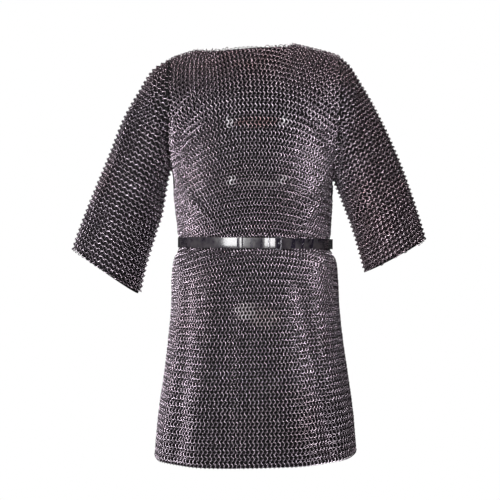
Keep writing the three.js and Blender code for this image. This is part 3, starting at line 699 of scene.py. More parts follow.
def edit_chosen(piece, kind, chosen):
    """Goes into edit mode with only the chosen faces or corners selected. A new primitive comes
    with all of its corners selected, so they are let go first."""
    bpy.ops.object.mode_set(mode="EDIT")
    bpy.ops.mesh.select_mode(type=kind)
    bpy.ops.mesh.select_all(action="DESELECT")
    bpy.ops.object.mode_set(mode="OBJECT")
    for part in piece.data.polygons if kind == "FACE" else piece.data.vertices:
        part.select = chosen(part)
    bpy.ops.object.mode_set(mode="EDIT")


RING_SIDES = 7
deselect_all()
bpy.ops.mesh.primitive_torus_add(
    major_segments=RING_SIDES, minor_segments=3, major_radius=RING_RADIUS, minor_radius=WIRE_RADIUS)
pattern_ring = bpy.context.object
RING_CORNERS = np.array([corner.co[:] for corner in pattern_ring.data.vertices])
RING_FACES = np.array([face.vertices[:] for face in pattern_ring.data.polygons])
bpy.data.objects.remove(pattern_ring)
print("one ring has", len(RING_CORNERS), "corners and", len(RING_FACES), "faces")


# %% Make a mesh from arrays
def mesh_object(name, corners, faces):
    mesh = bpy.data.meshes.new(name)
    sides = faces.shape[1]
    mesh.vertices.add(len(corners))
    mesh.vertices.foreach_set("co", np.ascontiguousarray(corners, np.float32).ravel())
    mesh.loops.add(faces.size)
    mesh.loops.foreach_set("vertex_index", np.ascontiguousarray(faces, np.int32).ravel())
    mesh.polygons.add(len(faces))
    mesh.polygons.foreach_set("loop_start", np.arange(0, faces.size, sides, dtype=np.int32))
    mesh.polygons.foreach_set("use_smooth", np.ones(len(faces), bool))
    mesh.update(calc_edges=True)
    mesh.validate()
    piece = bpy.data.objects.new(name, mesh)
    bpy.context.collection.objects.link(piece)
    return piece


def point_attribute(piece, name, values):
    attribute = piece.data.attributes.new(name, "FLOAT", "POINT")
    attribute.data.foreach_set("value", np.ascontiguousarray(values, np.float32))


# %% [markdown]
# Mail is never even in colour. Here a few places on the front are rubbed bright, as if by
# something hard beneath them, and that brightness is also a painted highlight, where the raised
# mail catches the light. The shoulders and one sleeve have a breath of red rust. Each ring carries
# those two numbers, so no picture has to be painted.

# %% Rubbed and rusty places, in metres
# Each place on the front: its middle, half its width and height, how bright (wear and painted highlight) and
# how red it is.
RUBBED_AND_GLINTING = [
    ((-0.056, -0.192), (0.010, 0.010), 1.0, 0.2),
    ((0.064, -0.190), (0.010, 0.010), 1.0, 0.2),
    ((0.004, -0.192), (0.052, 0.011), 0.1, 0.6),
    ((-0.052, -0.322), (0.011, 0.009), 1.0, 0.1),
    ((0.062, -0.320), (0.009, 0.009), 1.0, 0.1),
    ((0.005, -0.329), (0.045, 0.007), 0.5, 0.2),
    ((-0.022, -0.616), (0.022, 0.020), 0.9, 0.4),
    ((0.020, -0.630), (0.036, 0.024), 0.4, 0.4),
    ((-0.029, -0.058), (0.036, 0.007), 0.1, 0.5),
]
# the brightness of these places is wear, with a painted highlight in it
LEAST_RUB_AND_GLINT = 0.5            # share of that brightness that the least rubbed ring has
RUB_AND_GLINT_EDGE = (0.7, 1.2)      # of a place's half sizes, between which the wear dies away
RUSTY_SHOULDERS = ((-0.17, -0.04), 0.26)      # from and up to these heights
RUSTY_SLEEVE = ((0.19, 0.25), 0.20)           # from and out to these places across


def wear_glint_and_rust(places):
    """How bright and how red the rings at some places are, from 0 to 1. The brightness is wear with a painted
    highlight in it.
    """
    across, height = places[:, 0], places[:, 2]
    bright = np.zeros(len(places))
    heights, shoulder_red = RUSTY_SHOULDERS
    places_across, sleeve_red = RUSTY_SLEEVE
    red = shoulder_red * smooth_step(height, *heights)
    red = np.maximum(red, sleeve_red * smooth_step(across, *places_across))
    for (x, z), (half_wide, half_high), brightness, redness in RUBBED_AND_GLINTING:
        off = np.hypot((across - x) / half_wide, (height - z) / half_high)
        share = np.where(places[:, 1] < 0, 1 - smooth_step(off, *RUB_AND_GLINT_EDGE), 0)
        bright = np.maximum(bright, share * brightness)
        red = np.maximum(red, share * redness)
    return bright, red


# %% Join the rings of one lean
def rings_mesh(name, centres, axis, cross, out, lean, random):
    """All rings of one lean. Axis is the way they are turned about, cross the way they nest."""
    count = len(centres)
    angle = lean * random.normal(RING_LEAN, RING_SWAY, count)
    roll = random.normal(0, RING_SWAY, count)
    axis_now = axis * np.cos(roll)[:, None] + cross * np.sin(roll)[:, None]
    cross_now = cross * np.cos(roll)[:, None] - axis * np.sin(roll)[:, None]
    wide = cross_now * np.cos(angle)[:, None] + out * np.sin(angle)[:, None]
    facing = np.cross(wide, axis_now)
    shift = random.normal(0, RING_SHIFT, (count, 3))
    turned = RING_CORNERS @ np.stack([wide, axis_now, facing], axis=1)
    corners = (centres + shift)[:, None, :] + turned
    faces = RING_FACES[None] + (np.arange(count) * len(RING_CORNERS))[:, None, None]
    piece = mesh_object(name, corners.reshape(-1, 3), faces.reshape(-1, RING_FACES.shape[1]))
    tone = np.clip(random.normal(TONE_MIDDLE, TONE_SPREAD, count), 0, 1)
    # brightness from wear with a painted highlight, red from rust
    bright, red = wear_glint_and_rust(centres)
    bright *= random.uniform(LEAST_RUB_AND_GLINT, 1, count)
    for label, values in (("tone", tone), ("bright", bright), ("red", red)):
        point_attribute(piece, label, np.repeat(values, len(RING_CORNERS)))
    # how far out each corner lies, which sets the painted shade on the far side of each ring
    outward = np.einsum("rck,rk->rc", turned, out) / RING_RADIUS
    point_attribute(piece, "outward", outward.ravel())
    return piece


# %% Lay the rings on the body
rng = np.random.default_rng(SEED)
ring_pieces = []


def lay_rings(name, lattice, rows_round):
    """Lays the two sets of rings of one panel, and gives their number. The rows of one lean run
    round the panel, or else up and down it."""
    laid = 0
    points, exists = lattice["points"], lattice["exists"]
    across, up = square_frames(points)
    axis, cross = (up, across) if rows_round else (across, up)
    rows, columns = np.indices(exists.shape)
    for lean, word, parity in ((1, "even", 0), (-1, "odd", 1)):
        chosen = exists & (rows % 2 == parity) & (columns % 2 == parity)
        piece = rings_mesh(f"{name}_rings_{word}", points[chosen], axis[chosen], cross[chosen],
                           lattice["out"][chosen], lean, rng)
        ring_pieces.append((piece, name))
        laid += int(chosen.sum())
    return laid


ring_total = sum(lay_rings(name, lattices[name], True) for name in ("front", "back"))
print("rings on the body:", ring_total)

# %% [markdown]
# The sleeves are knitted on with the weave turned by a quarter, so the rows that lean alike run
# down the arm. The rings stay as far round the arm as down it, and lie in level planes that tip
# down towards the body, side by side with the edge of the cuff.

# %% The lattice of the sleeves
SLEEVE_RINGS = {"left": 41, "right": 44}      # rings round each sleeve
SLEEVE_ROW = {"left": 5.8 * MM, "right": 5.1 * MM}
ROW_FACING = {"left": (-0.538, -0.843), "right": (0.600, -0.800)}
SLEEVE_MARGIN = 2.5 * MM
CUFF_MARGIN = 4 * MM
NET_STEPS = np.linspace(0, 1, 201)
NET_AROUND = np.linspace(0, 2 * math.pi, 241)


def sleeve_lattice(side):
    """The net of one sleeve, with the weave's steps at its knots, and the lattice on it."""
    facing, half_row, count = ROW_FACING[side], SLEEVE_ROW[side], 2 * SLEEVE_RINGS[side]
    plain = sleeve_points(side, NET_AROUND, NET_STEPS)
    reach = plain[..., 0] * facing[0] + plain[..., 2] * facing[1]
    net = creased_sleeve(side, NET_AROUND[:-1], NET_STEPS)
    out = grid_frames(net, wrap=True)[2]
    net, out = (np.concatenate([item, item[:, :1]], axis=1) for item in (net, out))
    net_rows, net_columns = np.arange(NET_STEPS.size)[:, None], np.arange(NET_AROUND.size)[:, None]

    first = reach[-1].max() - CUFF_MARGIN
    places = np.arange(first, reach[0].min(), -half_row)[:, None]
    row = read_tables(places, reach, net_rows)
    within = (places > reach[0] + SLEEVE_MARGIN) & (places <= reach[-1] - CUFF_MARGIN)
    loops = read_net(net, row, np.broadcast_to(net_columns.T, row.shape))
    run = distance_along(loops, 1)
    run = run - run[:, NET_AROUND.size // 2, None]
    closed = np.flatnonzero(within.all(axis=1))
    half_step = (run[closed, -1] - run[closed, 0]) / count
    half_step = np.interp(np.arange(places.size), closed, half_step)[:, None]
    steps = np.arange(count)[:, None]
    column = read_tables((steps - (count - 1) / 2) * half_step.T, run.T, net_columns).T
    exists = read_tables(column.T, net_columns, within.T.astype(float)).T > WITHIN_LEAST

    up = (first - reach) / half_row
    across = read_tables(up, np.arange(places.size)[:, None], run / half_step) + (count - 1) / 2
    row = read_tables(column.T, net_columns, row.T).T
    return lattice_on(net, out, across, up, row, column, exists, distance_along(net))


# %% Lay the rings on the sleeves
for side in ("left", "right"):
    lattice = sleeve_lattice(side)
    lattices[f"sleeve_{side}"] = lattice
    ring_total += lay_rings(f"sleeve_{side}", lattice, False)
    print("sleeve", side, "has", lattice["points"].shape[0], "rows of rings down the arm")
print("rings in all:", ring_total, "with", ring_total * len(RING_FACES) * 2, "triangles")

# %% [markdown]
# ## The dark behind the rings
# Between the wires one looks through into the dark of the hollow. Leaving the gaps open would let
# light through from behind, because the rings here have a little more room than real ones. So each
# panel has a thin sheet, just inside the rings, painted dark as the shade of the hollow. It reaches
# down to the hem, and to just short of the cuffs.

# %% Make the sheets
SHEET_IN = 4.2 * MM           # from the middle of the weave to the sheet
SHEET_THICK = 0.8 * MM
SHEET_FADE = 15 * MM          # the sheets come out to meet each other this near an armhole


def apply_modifier(piece, kind, **settings):
    """Adds a modifier to a piece, sets it up and applies it."""
    make_active(piece)
    modifier = piece.modifiers.new(kind.lower(), kind)
    for setting, value in settings.items():
        setattr(modifier, setting, value)
    bpy.ops.object.modifier_apply(modifier=modifier.name)


def sheet_object(name, lattice, rows, columns):
    """A thin sheet through some of a net's knots. Its UV map counts the weave's cells."""
    knots = np.ix_(rows, columns)
    inset = SHEET_IN * smooth_step(lattice["from_armhole"][knots], 0, SHEET_FADE)
    points = lattice["net"][knots] - lattice["net_out"][knots] * inset[..., None]
    cells = lattice["net_steps"][knots] / 2
    j, i = np.indices((rows.size - 1, columns.size - 1)).reshape(2, -1)
    corner_j = np.stack([j, j, j + 1, j + 1], axis=-1)
    corner_i = np.stack([i, i + 1, i + 1, i], axis=-1)
    piece = mesh_object(name, points.reshape(-1, 3), corner_j * columns.size + corner_i)
    uv = piece.data.uv_layers.new(name="weave")
    uv.data.foreach_set("uv", np.ascontiguousarray(cells[corner_j, corner_i], np.float32).ravel())
    return piece


def sheet_area(piece):
    """Its area on one face. The thin edges count too, but they are next to nothing."""
    return sum(face.area for face in piece.data.polygons) / 2


# Some of the nets' rows and columns, up to the last one on the body and the last but one on a sleeve.
SHEET_ROWS = {"body": np.append(np.arange(0, NET_ROWS.size - 1, 3), NET_ROWS.size - 1),
              "sleeve": np.append(np.arange(0, NET_STEPS.size - 4, 4), NET_STEPS.size - 2)}
SHEET_COLUMNS = np.arange(0, NET_U.size, 6)
sheets = {}
for name, lattice in lattices.items():
    is_sleeve = name.startswith("sleeve")
    rows = SHEET_ROWS["sleeve" if is_sleeve else "body"]
    piece = sheet_object(f"{name}_sheet", lattice, rows, SHEET_COLUMNS)
    if is_sleeve:
        apply_modifier(piece, "WELD", merge_threshold=0.01 * MM)
    apply_modifier(piece, "SOLIDIFY", thickness=SHEET_THICK, offset=0)
    sheets[name] = piece
    print(name, "sheet:", len(piece.data.polygons), "faces,", round(sheet_area(piece), 3), "square metres")

# %% [markdown]
# ## The belt
# The belt is one strap of black leather, 24 mm wide, sewn back on itself round the middle bar of
# a double buckle. Its tail passes over that bar, and on through a small leather keeper.
# Bending flat pieces into place is how leather is really worked, so each piece of the belt is
# modelled straight, in belt space: x runs along the waist from the middle of the front, minus y
# is the distance out from the mail, and z is up. One function then lays it round the waist.

# %% Belt space
BELT_WIDTH = 24 * MM
BELT_THICK = 2.4 * MM
BELT_TILT = -4 / 350          # it sits a little lower at the right
STRAP_OUT = 4.8               # millimetres from the middle of the mail to the middle of the strap
TAIL_OUT = 7.6                # and to the middle of its tail
WAIST_STEPS = 4000


def waist_line():
    turn = np.linspace(0, 2 * math.pi, WAIST_STEPS + 1)
    left_x, _, right_x, _, front, back, _ = STATIONS[WAIST_STATION]
    across = np.sin(turn)
    depth = np.where(np.cos(turn) > 0, -front, back)
    return np.stack([mix(left_x, right_x, (across + 1) / 2), depth * oval_reach(across)], axis=-1)


WAIST = waist_line()
WAIST_RUN = distance_along(WAIST)
WAIST_LENGTH = WAIST_RUN[-1]


def waist_points(s):
    return read_line(np.mod(s, WAIST_LENGTH), WAIST_RUN, WAIST)


def round_waist(corners):
    """Places in belt space, taken to where they lie round the waist."""
    s = corners[:, 0]
    point = waist_points(s)
    way = unit(waist_points(s + MM) - waist_points(s - MM))
    out = -corners[:, 1]
    z = BELT_Z + BELT_TILT * point[:, 0] + corners[:, 2]
    return np.stack([point[:, 0] + way[:, 1] * out, point[:, 1] - way[:, 0] * out, z], axis=-1)


def corners_of(piece):
    corners = np.empty(len(piece.data.vertices) * 3)
    piece.data.vertices.foreach_get("co", corners)
    return corners.reshape(-1, 3)


def lay_on_waist(piece, name, smooth_angle=40):
    """Bends a finished piece round the waist, and smooths its soft edges."""
    make_active(piece)
    bpy.ops.object.transform_apply(location=True, rotation=True, scale=True)
    piece.data.vertices.foreach_set("co", round_waist(corners_of(piece)).ravel())
    piece.data.update()
    bpy.ops.object.shade_smooth_by_angle(angle=math.radians(smooth_angle))
    piece.name = name
    piece.data.name = name
    return piece


print("way round the waist:", round(WAIST_LENGTH, 3), "m")

# %% [markdown]
# The strap starts as a short flat face, and its end edge is extruded step by step along the
# strap's route. The route could be a curve with a profile swept along it. Extruding the edge keeps
# the strap upright all the way, and leaves its faces in even steps for the holes.

# %% The route of the strap, as distances along the waist and out from the mail, in millimetres
BUCKLE_BAR = (47, 7.9)
FOLD_RADIUS = 3.2
BEHIND_BUCKLE = [(34, 4.8), (38, 4.8), (42, 4.8)]
OVER_FOLD = [(43, 10.3), (39.5, 8.7), (36, 7.7), (33, 7.4), (28, 5.7), (24, 4.9), (20, 4.8)]
AROUND_FROM = 10
AROUND_UNTIL = 85             # on from the front's middle, after a whole turn
AROUND_POINTS = 100
TAIL = [(75, 4.8), (66, 4.9), (61, 5.3), (57.5, 6.8), (54, 9.9), (51, 12.6), (48, 13.9), (44, 13.5),
        (40, 12.1), (36, 10.9), (31, 10), (26, 8.5), (20, 7.7), (10, 7.6), (-10, 7.6), (-24, 7.6),
        (-34, 7.6), (-36.5, 8.0), (-39, 9.0)]
FOLD_TURNS = range(-90, 91, 20)      # in degrees, round the bar
SIDE_SLACK = 4.5              # how far the strap stands off on one side
SIDE_SLACK_PLACE = 0.75       # share of the way round where it does so
SIDE_SLACK_WIDTH = 24
STEP_BEND, STEP_AROUND, STEP_TAIL = 1.2, 6, 1.8
SAME_PLACE = 1e-6             # in metres
TIP_LENGTH = 6
TIP_SHARE = 0.72
HOLES = {"tail": (-7, 15), "strap": (88, 111, 134)}
HOLE_RADIUS = 2 * MM


def strap_route():
    length = WAIST_LENGTH / MM
    turns = np.radians(FOLD_TURNS)
    fold = [(BUCKLE_BAR[0] + FOLD_RADIUS * math.cos(turn), BUCKLE_BAR[1] + FOLD_RADIUS * math.sin(turn))
            for turn in turns]
    around = []
    for s in np.linspace(AROUND_FROM, AROUND_UNTIL - length, AROUND_POINTS):
        slack = SIDE_SLACK * math.exp(-((s + SIDE_SLACK_PLACE * length) / SIDE_SLACK_WIDTH) ** 2)
        around.append((s, STRAP_OUT + slack))
    tail = [(s - length, out) for s, out in TAIL]
    points = np.array(BEHIND_BUCKLE + fold + OVER_FOLD + around + tail)
    run = distance_along(points)
    bend_end = run[len(BEHIND_BUCKLE + fold + OVER_FOLD)]
    tail_start = run[-len(TAIL)]
    steps = np.concatenate([np.arange(0, bend_end, STEP_BEND), np.arange(bend_end, tail_start, STEP_AROUND),
                            np.arange(tail_start, run[-1], STEP_TAIL), [run[-1]]])
    return ease_through(run, points, steps) * MM


# %% Extrude the strap along its route
deselect_all()
route = strap_route()
bpy.ops.mesh.primitive_plane_add(size=1)
strap = bpy.context.object
half = BELT_WIDTH / 2
for corner in strap.data.vertices:
    s, out = route[0] if corner.co.x < 0 else route[1]
    corner.co = (s, -out, half if corner.co.y > 0 else -half)
edit_chosen(strap, "VERT", lambda corner: abs(corner.co.x - route[1][0]) < SAME_PLACE)
for (s0, out0), (s1, out1) in zip(route[1:], route[2:]):
    bpy.ops.mesh.extrude_region_move(TRANSFORM_OT_translate={"value": (s1 - s0, out0 - out1, 0)})
bpy.ops.mesh.select_all(action="SELECT")
bpy.ops.mesh.normals_make_consistent(inside=False)
bpy.ops.object.mode_set(mode="OBJECT")
tip_end = route[-1][0]
for corner in strap.data.vertices:
    share = min((corner.co.x - tip_end) / (TIP_LENGTH * MM), 1)
    if share < 1:
        corner.co.z *= mix(TIP_SHARE, 1, math.sqrt(max(share, 0)))
apply_modifier(strap, "SOLIDIFY", thickness=BELT_THICK, offset=0)
apply_modifier(strap, "BEVEL", width=0.6 * MM, segments=3, limit_method="ANGLE", angle_limit=math.radians(50))
print("strap:", len(route), "steps,", len(strap.data.polygons), "faces")


# %% [markdown]
# The holes are punched after the edges are rounded, as a maker punches them. A punch is a cylinder
# or a slot, and a Boolean takes its shape out of the strap.

# %% Punch the holes
def punch(piece, cutter):
    apply_modifier(piece, "BOOLEAN", operation="DIFFERENCE", object=cutter, solver="EXACT")
    bpy.data.objects.remove(cutter)


PUNCH_SIDES = 20
PUNCH_DEPTH = 3.4 * MM
SLOT_HEIGHT = 3.6 * MM
# Each slot: its place along and out, its width and its depth, in millimetres.
SLOTS = [(53.6 - WAIST_LENGTH / MM, 12.6, 10.8, 16), (47, 8, 9.8, 8.8)]


def round_punch(s, out):
    deselect_all()
    bpy.ops.mesh.primitive_cylinder_add(
        vertices=PUNCH_SIDES, radius=HOLE_RADIUS, depth=PUNCH_DEPTH, location=(s, -out, 0),
        rotation=(LEVEL, 0, 0))
    return bpy.context.object


def add_box(s, out, wide, deep, tall):
    """A box in belt space, by its middle and its sizes."""
    deselect_all()
    bpy.ops.mesh.primitive_cube_add(size=1, location=(s, -out, 0), scale=(wide, deep, tall))
    return bpy.context.object


for holes, out in ((HOLES["tail"], TAIL_OUT), (HOLES["strap"], STRAP_OUT)):
    for s in holes:
        punch(strap, round_punch(s * MM - WAIST_LENGTH, out * MM))
for s, out, wide, deep in SLOTS:
    punch(strap, add_box(s * MM, out * MM, wide * MM, deep * MM, SLOT_HEIGHT))
edge_share = np.abs(corners_of(strap)[:, 2]) / half
lay_on_waist(strap, "belt_strap_leather")
point_attribute(strap, "edge", edge_share)
print("strap after punching:", len(strap.data.polygons), "faces")

# %% [markdown]
# The keeper is a little loop of the same leather. It is a cube with its two ends opened, given
# the leather's thickness, and rounded.

# %% Make the keeper
KEEPER_FROM, KEEPER_TO = -33 * MM, -25.5 * MM
KEEPER_INNER, KEEPER_OUTER = 2.6 * MM, 9.8 * MM
KEEPER_LEATHER = 0.9 * MM
KEEPER_HALF = 12.9 * MM
SQUARE_ON = 0.5               # a face looks along x if more of its normal than this does

keeper = add_box((KEEPER_FROM + KEEPER_TO) / 2, (KEEPER_INNER + KEEPER_OUTER) / 2,
                 KEEPER_TO - KEEPER_FROM, KEEPER_OUTER - KEEPER_INNER, 2 * KEEPER_HALF)
bpy.ops.object.transform_apply(location=True, rotation=True, scale=True)
edit_chosen(keeper, "FACE", lambda face: abs(face.normal.x) > SQUARE_ON)
bpy.ops.mesh.delete(type="FACE")
bpy.ops.mesh.select_all(action="SELECT")
bpy.ops.mesh.bevel(offset=1.2 * MM, segments=4, affect="EDGES")
bpy.ops.object.mode_set(mode="OBJECT")
apply_modifier(keeper, "SOLIDIFY", thickness=KEEPER_LEATHER, offset=-1)
apply_modifier(keeper, "BEVEL", width=0.25 * MM, segments=2, limit_method="ANGLE",
               angle_limit=math.radians(60))
from_middle = corners_of(keeper)[:, 0] - (KEEPER_FROM + KEEPER_TO) / 2
edge_share = np.abs(from_middle) / (KEEPER_TO - KEEPER_FROM) * 2
lay_on_waist(keeper, "belt_keeper_leather")
point_attribute(keeper, "edge", edge_share)
print("keeper:", len(keeper.data.polygons), "faces")

# %% [markdown]
# The buckle's frame is bent from round steel wire: two windows side by side, with a bar between
# them. A grid of two faces has just those edges. Its corners are rounded, and the Wireframe
# modifier turns each edge into a bar, which is quicker and more even than joining bars by hand.

# %% Make the buckle's frame
FRAME_BARS = [(31, 13), (47, 7.9), (58.5, 10.3)]
FRAME_HALF_HEIGHT = 13.8 * MM
FRAME_WIRE = 2.5 * MM
FRAME_CORNER = 3 * MM

deselect_all()
bpy.ops.mesh.primitive_grid_add(x_subdivisions=2, y_subdivisions=1, size=2)
buckle = bpy.context.object
bar_places = dict(zip((-1, 0, 1), FRAME_BARS))
for corner in buckle.data.vertices:
    s, _ = bar_places[round(corner.co.x)]
    corner.co = (s * MM, 0, FRAME_HALF_HEIGHT if corner.co.y > 0 else -FRAME_HALF_HEIGHT)
    corner.select = s != FRAME_BARS[1][0]
bpy.ops.object.mode_set(mode="EDIT")
bpy.ops.mesh.select_mode(type="VERT")
bpy.ops.mesh.bevel(offset=FRAME_CORNER, segments=4, affect="VERTICES")
bpy.ops.mesh.select_all(action="SELECT")
bpy.ops.object.mode_set(mode="OBJECT")
bar_s, bar_out = zip(*FRAME_BARS)
for corner in buckle.data.vertices:
    corner.co.y = -float(np.interp(corner.co.x / MM, bar_s, bar_out)) * MM
apply_modifier(buckle, "WIREFRAME", thickness=FRAME_WIRE, use_even_offset=True, use_boundary=True,
               use_replace=True)
apply_modifier(buckle, "SUBSURF", levels=1, render_levels=1)
lay_on_waist(buckle, "buckle_frame_steel", 60)
print("frame:", len(buckle.data.polygons), "faces")

# %% [markdown]
# The prong is a flat tongue of steel. One end is rolled into an eye round the middle bar, and the
# other rests on the outer bar. A cube is drawn out by extruding its end face three times, and the
# eye is a small ring set on its root.

# %% Make the prong
PRONG_WIDTH = 2.6 * MM
PRONG_THICK = 1.9 * MM
EYE_RADIUS = 3.0 * MM
PRONG_ROOT = (49.4 * MM, 11.7 * MM)
PRONG_ROOT_LENGTH = 2.4 * MM
PRONG_STEPS = [(3.5, -0.6), (4.0, -0.6), (3.4, 0.2)]     # millimetres along, and in towards the mail
PRONG_TIP = (1, 0.8, 0.7)     # shares of its size that the tip keeps

prong = add_box(*PRONG_ROOT, PRONG_ROOT_LENGTH, PRONG_THICK, PRONG_WIDTH)
bpy.ops.object.transform_apply(location=True, rotation=True, scale=True)
edit_chosen(prong, "FACE", lambda face: face.normal.x > SQUARE_ON)
for along, drop in PRONG_STEPS:
    bpy.ops.mesh.extrude_region_move(TRANSFORM_OT_translate={"value": (along * MM, drop * MM, 0)})
bpy.ops.transform.resize(value=PRONG_TIP)
bpy.ops.mesh.select_all(action="SELECT")
bpy.ops.mesh.bevel(offset=0.35 * MM, segments=2, affect="EDGES")
bpy.ops.object.mode_set(mode="OBJECT")
deselect_all()
bpy.ops.mesh.primitive_torus_add(
    major_segments=24, minor_segments=10, major_radius=EYE_RADIUS, minor_radius=PRONG_THICK / 2,
    location=(BUCKLE_BAR[0] * MM, -BUCKLE_BAR[1] * MM, 0), rotation=(LEVEL, 0, 0))
prong.select_set(True)
bpy.context.view_layer.objects.active = prong
bpy.ops.object.join()
lay_on_waist(prong, "buckle_prong_steel", 50)
print("prong:", len(prong.data.polygons), "faces")

# %% [markdown]
# ## Finishes
# The rings are dull, dark steel, each one a little different. The far side of each ring, deep
# towards the sheet, is darkened with painted shade, so the crests stand out bright. A painted
# texture would slide or blur at this scale. The variation comes instead from the numbers that each
# ring carries, and from soft noise in the hauberk's own coordinates.
# The same noise serves the leather and the buckle, so it is a node group, built once.

# %% Node helpers
MIX_SHARE, MIX_FIRST, MIX_SECOND, MIX_RESULT = 0, 6, 7, 2     # a Mix node's sockets for colours


def feed(tree, socket, value):
    """Links another socket to this one, or sets an even value on it."""
    if isinstance(value, bpy.types.NodeSocket):
        tree.links.new(value, socket)
    else:
        socket.default_value = value


def fill(tree, made, **inputs):
    """Feeds a node's sockets by name."""
    for name, value in inputs.items():
        feed(tree, made.inputs[name.replace("_", " ")], value)


def node(tree, kind, **inputs):
    made = tree.nodes.new(kind)
    fill(tree, made, **inputs)
    return made


def operation_node(tree, kind, operation, values):
    made = tree.nodes.new(kind)
    made.operation = operation
    for socket, value in zip(made.inputs, values):
        feed(tree, socket, value)
    return made


def math_node(tree, operation, *values, clamp=False):
    made = operation_node(tree, "ShaderNodeMath", operation, values)
    made.use_clamp = clamp
    return made.outputs[0]


def vector_node(tree, operation, *values):
    return operation_node(tree, "ShaderNodeVectorMath", operation, values).outputs[0]


def mix_colours(tree, share, first, second):
    made = tree.nodes.new("ShaderNodeMix")
    made.data_type = "RGBA"
    for place, value in ((MIX_SHARE, share), (MIX_FIRST, first), (MIX_SECOND, second)):
        feed(tree, made.inputs[place], value)
    return made.outputs[MIX_RESULT]


def remap(tree, value, low, high, to_low, to_high):
    made = node(tree, "ShaderNodeMapRange", Value=value)
    for place, number in zip(range(1, 5), (low, high, to_low, to_high)):
        made.inputs[place].default_value = number
    return made.outputs[0]


# %% A group of soft and fine variation
def variation_group():
    group = bpy.data.node_groups.new("variation", "ShaderNodeTree")
    for name in ("Soft Scale", "Fine Scale"):
        group.interface.new_socket(name, in_out="INPUT", socket_type="NodeSocketFloat")
    for name in ("Soft", "Fine"):
        group.interface.new_socket(name, in_out="OUTPUT", socket_type="NodeSocketFloat")
    inside = group.nodes.new("NodeGroupInput")
    outside = group.nodes.new("NodeGroupOutput")
    place = group.nodes.new("ShaderNodeTexCoord").outputs["Object"]
    for name, detail in (("Soft", 2), ("Fine", 4)):
        noise = node(group, "ShaderNodeTexNoise", Vector=place, Scale=inside.outputs[f"{name} Scale"],
                     Detail=detail)
        group.links.new(noise.outputs["Fac"], outside.inputs[name])
    return group


VARIATION = variation_group()


def add_variation(tree, soft_scale, fine_scale):
    made = tree.nodes.new("ShaderNodeGroup")
    made.node_tree = VARIATION
    made.inputs["Soft Scale"].default_value = soft_scale
    made.inputs["Fine Scale"].default_value = fine_scale
    return made.outputs["Soft"], made.outputs["Fine"]


def new_finish(name, **sockets):
    """A material with its even values set on its shader. Gives the tree and the shader."""
    material = bpy.data.materials.new(name)
    material.use_nodes = True
    tree = material.node_tree
    shader = tree.nodes["Principled BSDF"]
    fill(tree, shader, **sockets)
    return material, tree, shader


def add_bump(tree, shader, height, distance, strength):
    bump = node(tree, "ShaderNodeBump", Height=height, Distance=distance, Strength=strength)
    fill(tree, shader, Normal=bump.outputs["Normal"])


# %% The steel of the rings
RING_DARK = (0.055, 0.045, 0.054, 1)
RING_LIGHT = (0.80, 0.69, 0.79, 1)
# rubbed rings: the colour of wear, with a painted highlight in it
RING_WORN_GLINT_COLOUR = (0.92, 0.86, 0.92, 1)
# painted shade: the colour of each ring's far side, towards the sheet, and the span where it fades out
RING_PAINTED_SHADE = (0.010, 0.008, 0.010, 1)
PAINTED_SHADE_SPAN = (-0.50, 0.12)     # share of a ring's radius outward, where it is darkest and clear
RUST = (0.34, 0.17, 0.16, 1)
NOISE_SPAN = (0.3, 0.7)       # most values of a noise lie between these
RING_NOISE = (5, 160)         # scales of the soft and the fine noise
TONE_SHARE, GRAIN_SHARE = 0.8, 0.2   # of a ring's colour, from its own tone and from fine noise
RUST_PATCHES = (0.5, 0.75, 0, 0.2)   # soft noise from and to, and red from and to
RUST_SPECKS = (0.35, 0.6, 0.5, 1.3)  # fine noise from and to, and what it makes of the red
# rubbed rings are less metallic, so their painted highlight shows under any light
RING_METALLIC = (0.9, 0.3)    # of dull rings and of rubbed ones
RING_ROUGHNESS = (0.16, 0.26)
RING_BUMP = (0.12 * MM, 0.6)  # distance and strength


def carried(tree, name):
    """A number that each corner of a mesh carries."""
    made = tree.nodes.new("ShaderNodeAttribute")
    made.attribute_name = name
    return made.outputs["Fac"]


def ring_steel():
    material, tree, shader = new_finish("ring_steel")
    soft, fine = add_variation(tree, *RING_NOISE)
    share = math_node(tree, "MULTIPLY", carried(tree, "tone"), TONE_SHARE)
    share = math_node(tree, "ADD", share, remap(tree, fine, *NOISE_SPAN, 0, GRAIN_SHARE), clamp=True)
    colour = mix_colours(tree, share, RING_DARK, RING_LIGHT)
    rust = math_node(tree, "ADD", carried(tree, "red"), remap(tree, soft, *RUST_PATCHES))
    rust = math_node(tree, "MULTIPLY", rust, remap(tree, fine, *RUST_SPECKS), clamp=True)
    colour = mix_colours(tree, rust, colour, RUST)
    bright = carried(tree, "bright")
    # rubbed places: wear with a painted highlight
    colour = mix_colours(tree, bright, colour, RING_WORN_GLINT_COLOUR)
    # painted shade: each ring's far side, towards the sheet, is darkened
    deep = remap(tree, carried(tree, "outward"), *PAINTED_SHADE_SPAN, 1, 0)
    colour = mix_colours(tree, deep, colour, RING_PAINTED_SHADE)
    fill(tree, shader, Base_Color=colour, Metallic=remap(tree, bright, 0, 1, *RING_METALLIC),
         Roughness=remap(tree, fine, *NOISE_SPAN, *RING_ROUGHNESS))
    add_bump(tree, shader, fine, *RING_BUMP)
    return material


# %% [markdown]
# The dark sheet shows the far sides of the rings, dim in the shadow. They are circles round the
# weave's own crossings, drawn from the sheet's UV map, which counts the weave's cells.

# %% The shadowed far side of the weave
SHADOW_DARK = (0.001, 0.001, 0.001, 1)
SHADOW_WIRE = (0.007, 0.006, 0.007, 1)
SHADOW_NOISE = (9, 300)
SHADOW_LEAST = 0.5            # share of their light that the far wires keep where it is darkest
SHADOW_ROUGHNESS = (0.5, 0.8)
SHADOW_BUMP = (0.5 * MM, 1.0)
WIRE_EDGE = (0.10, 0.22)      # of a ring's radius off its line, between which its wire ends


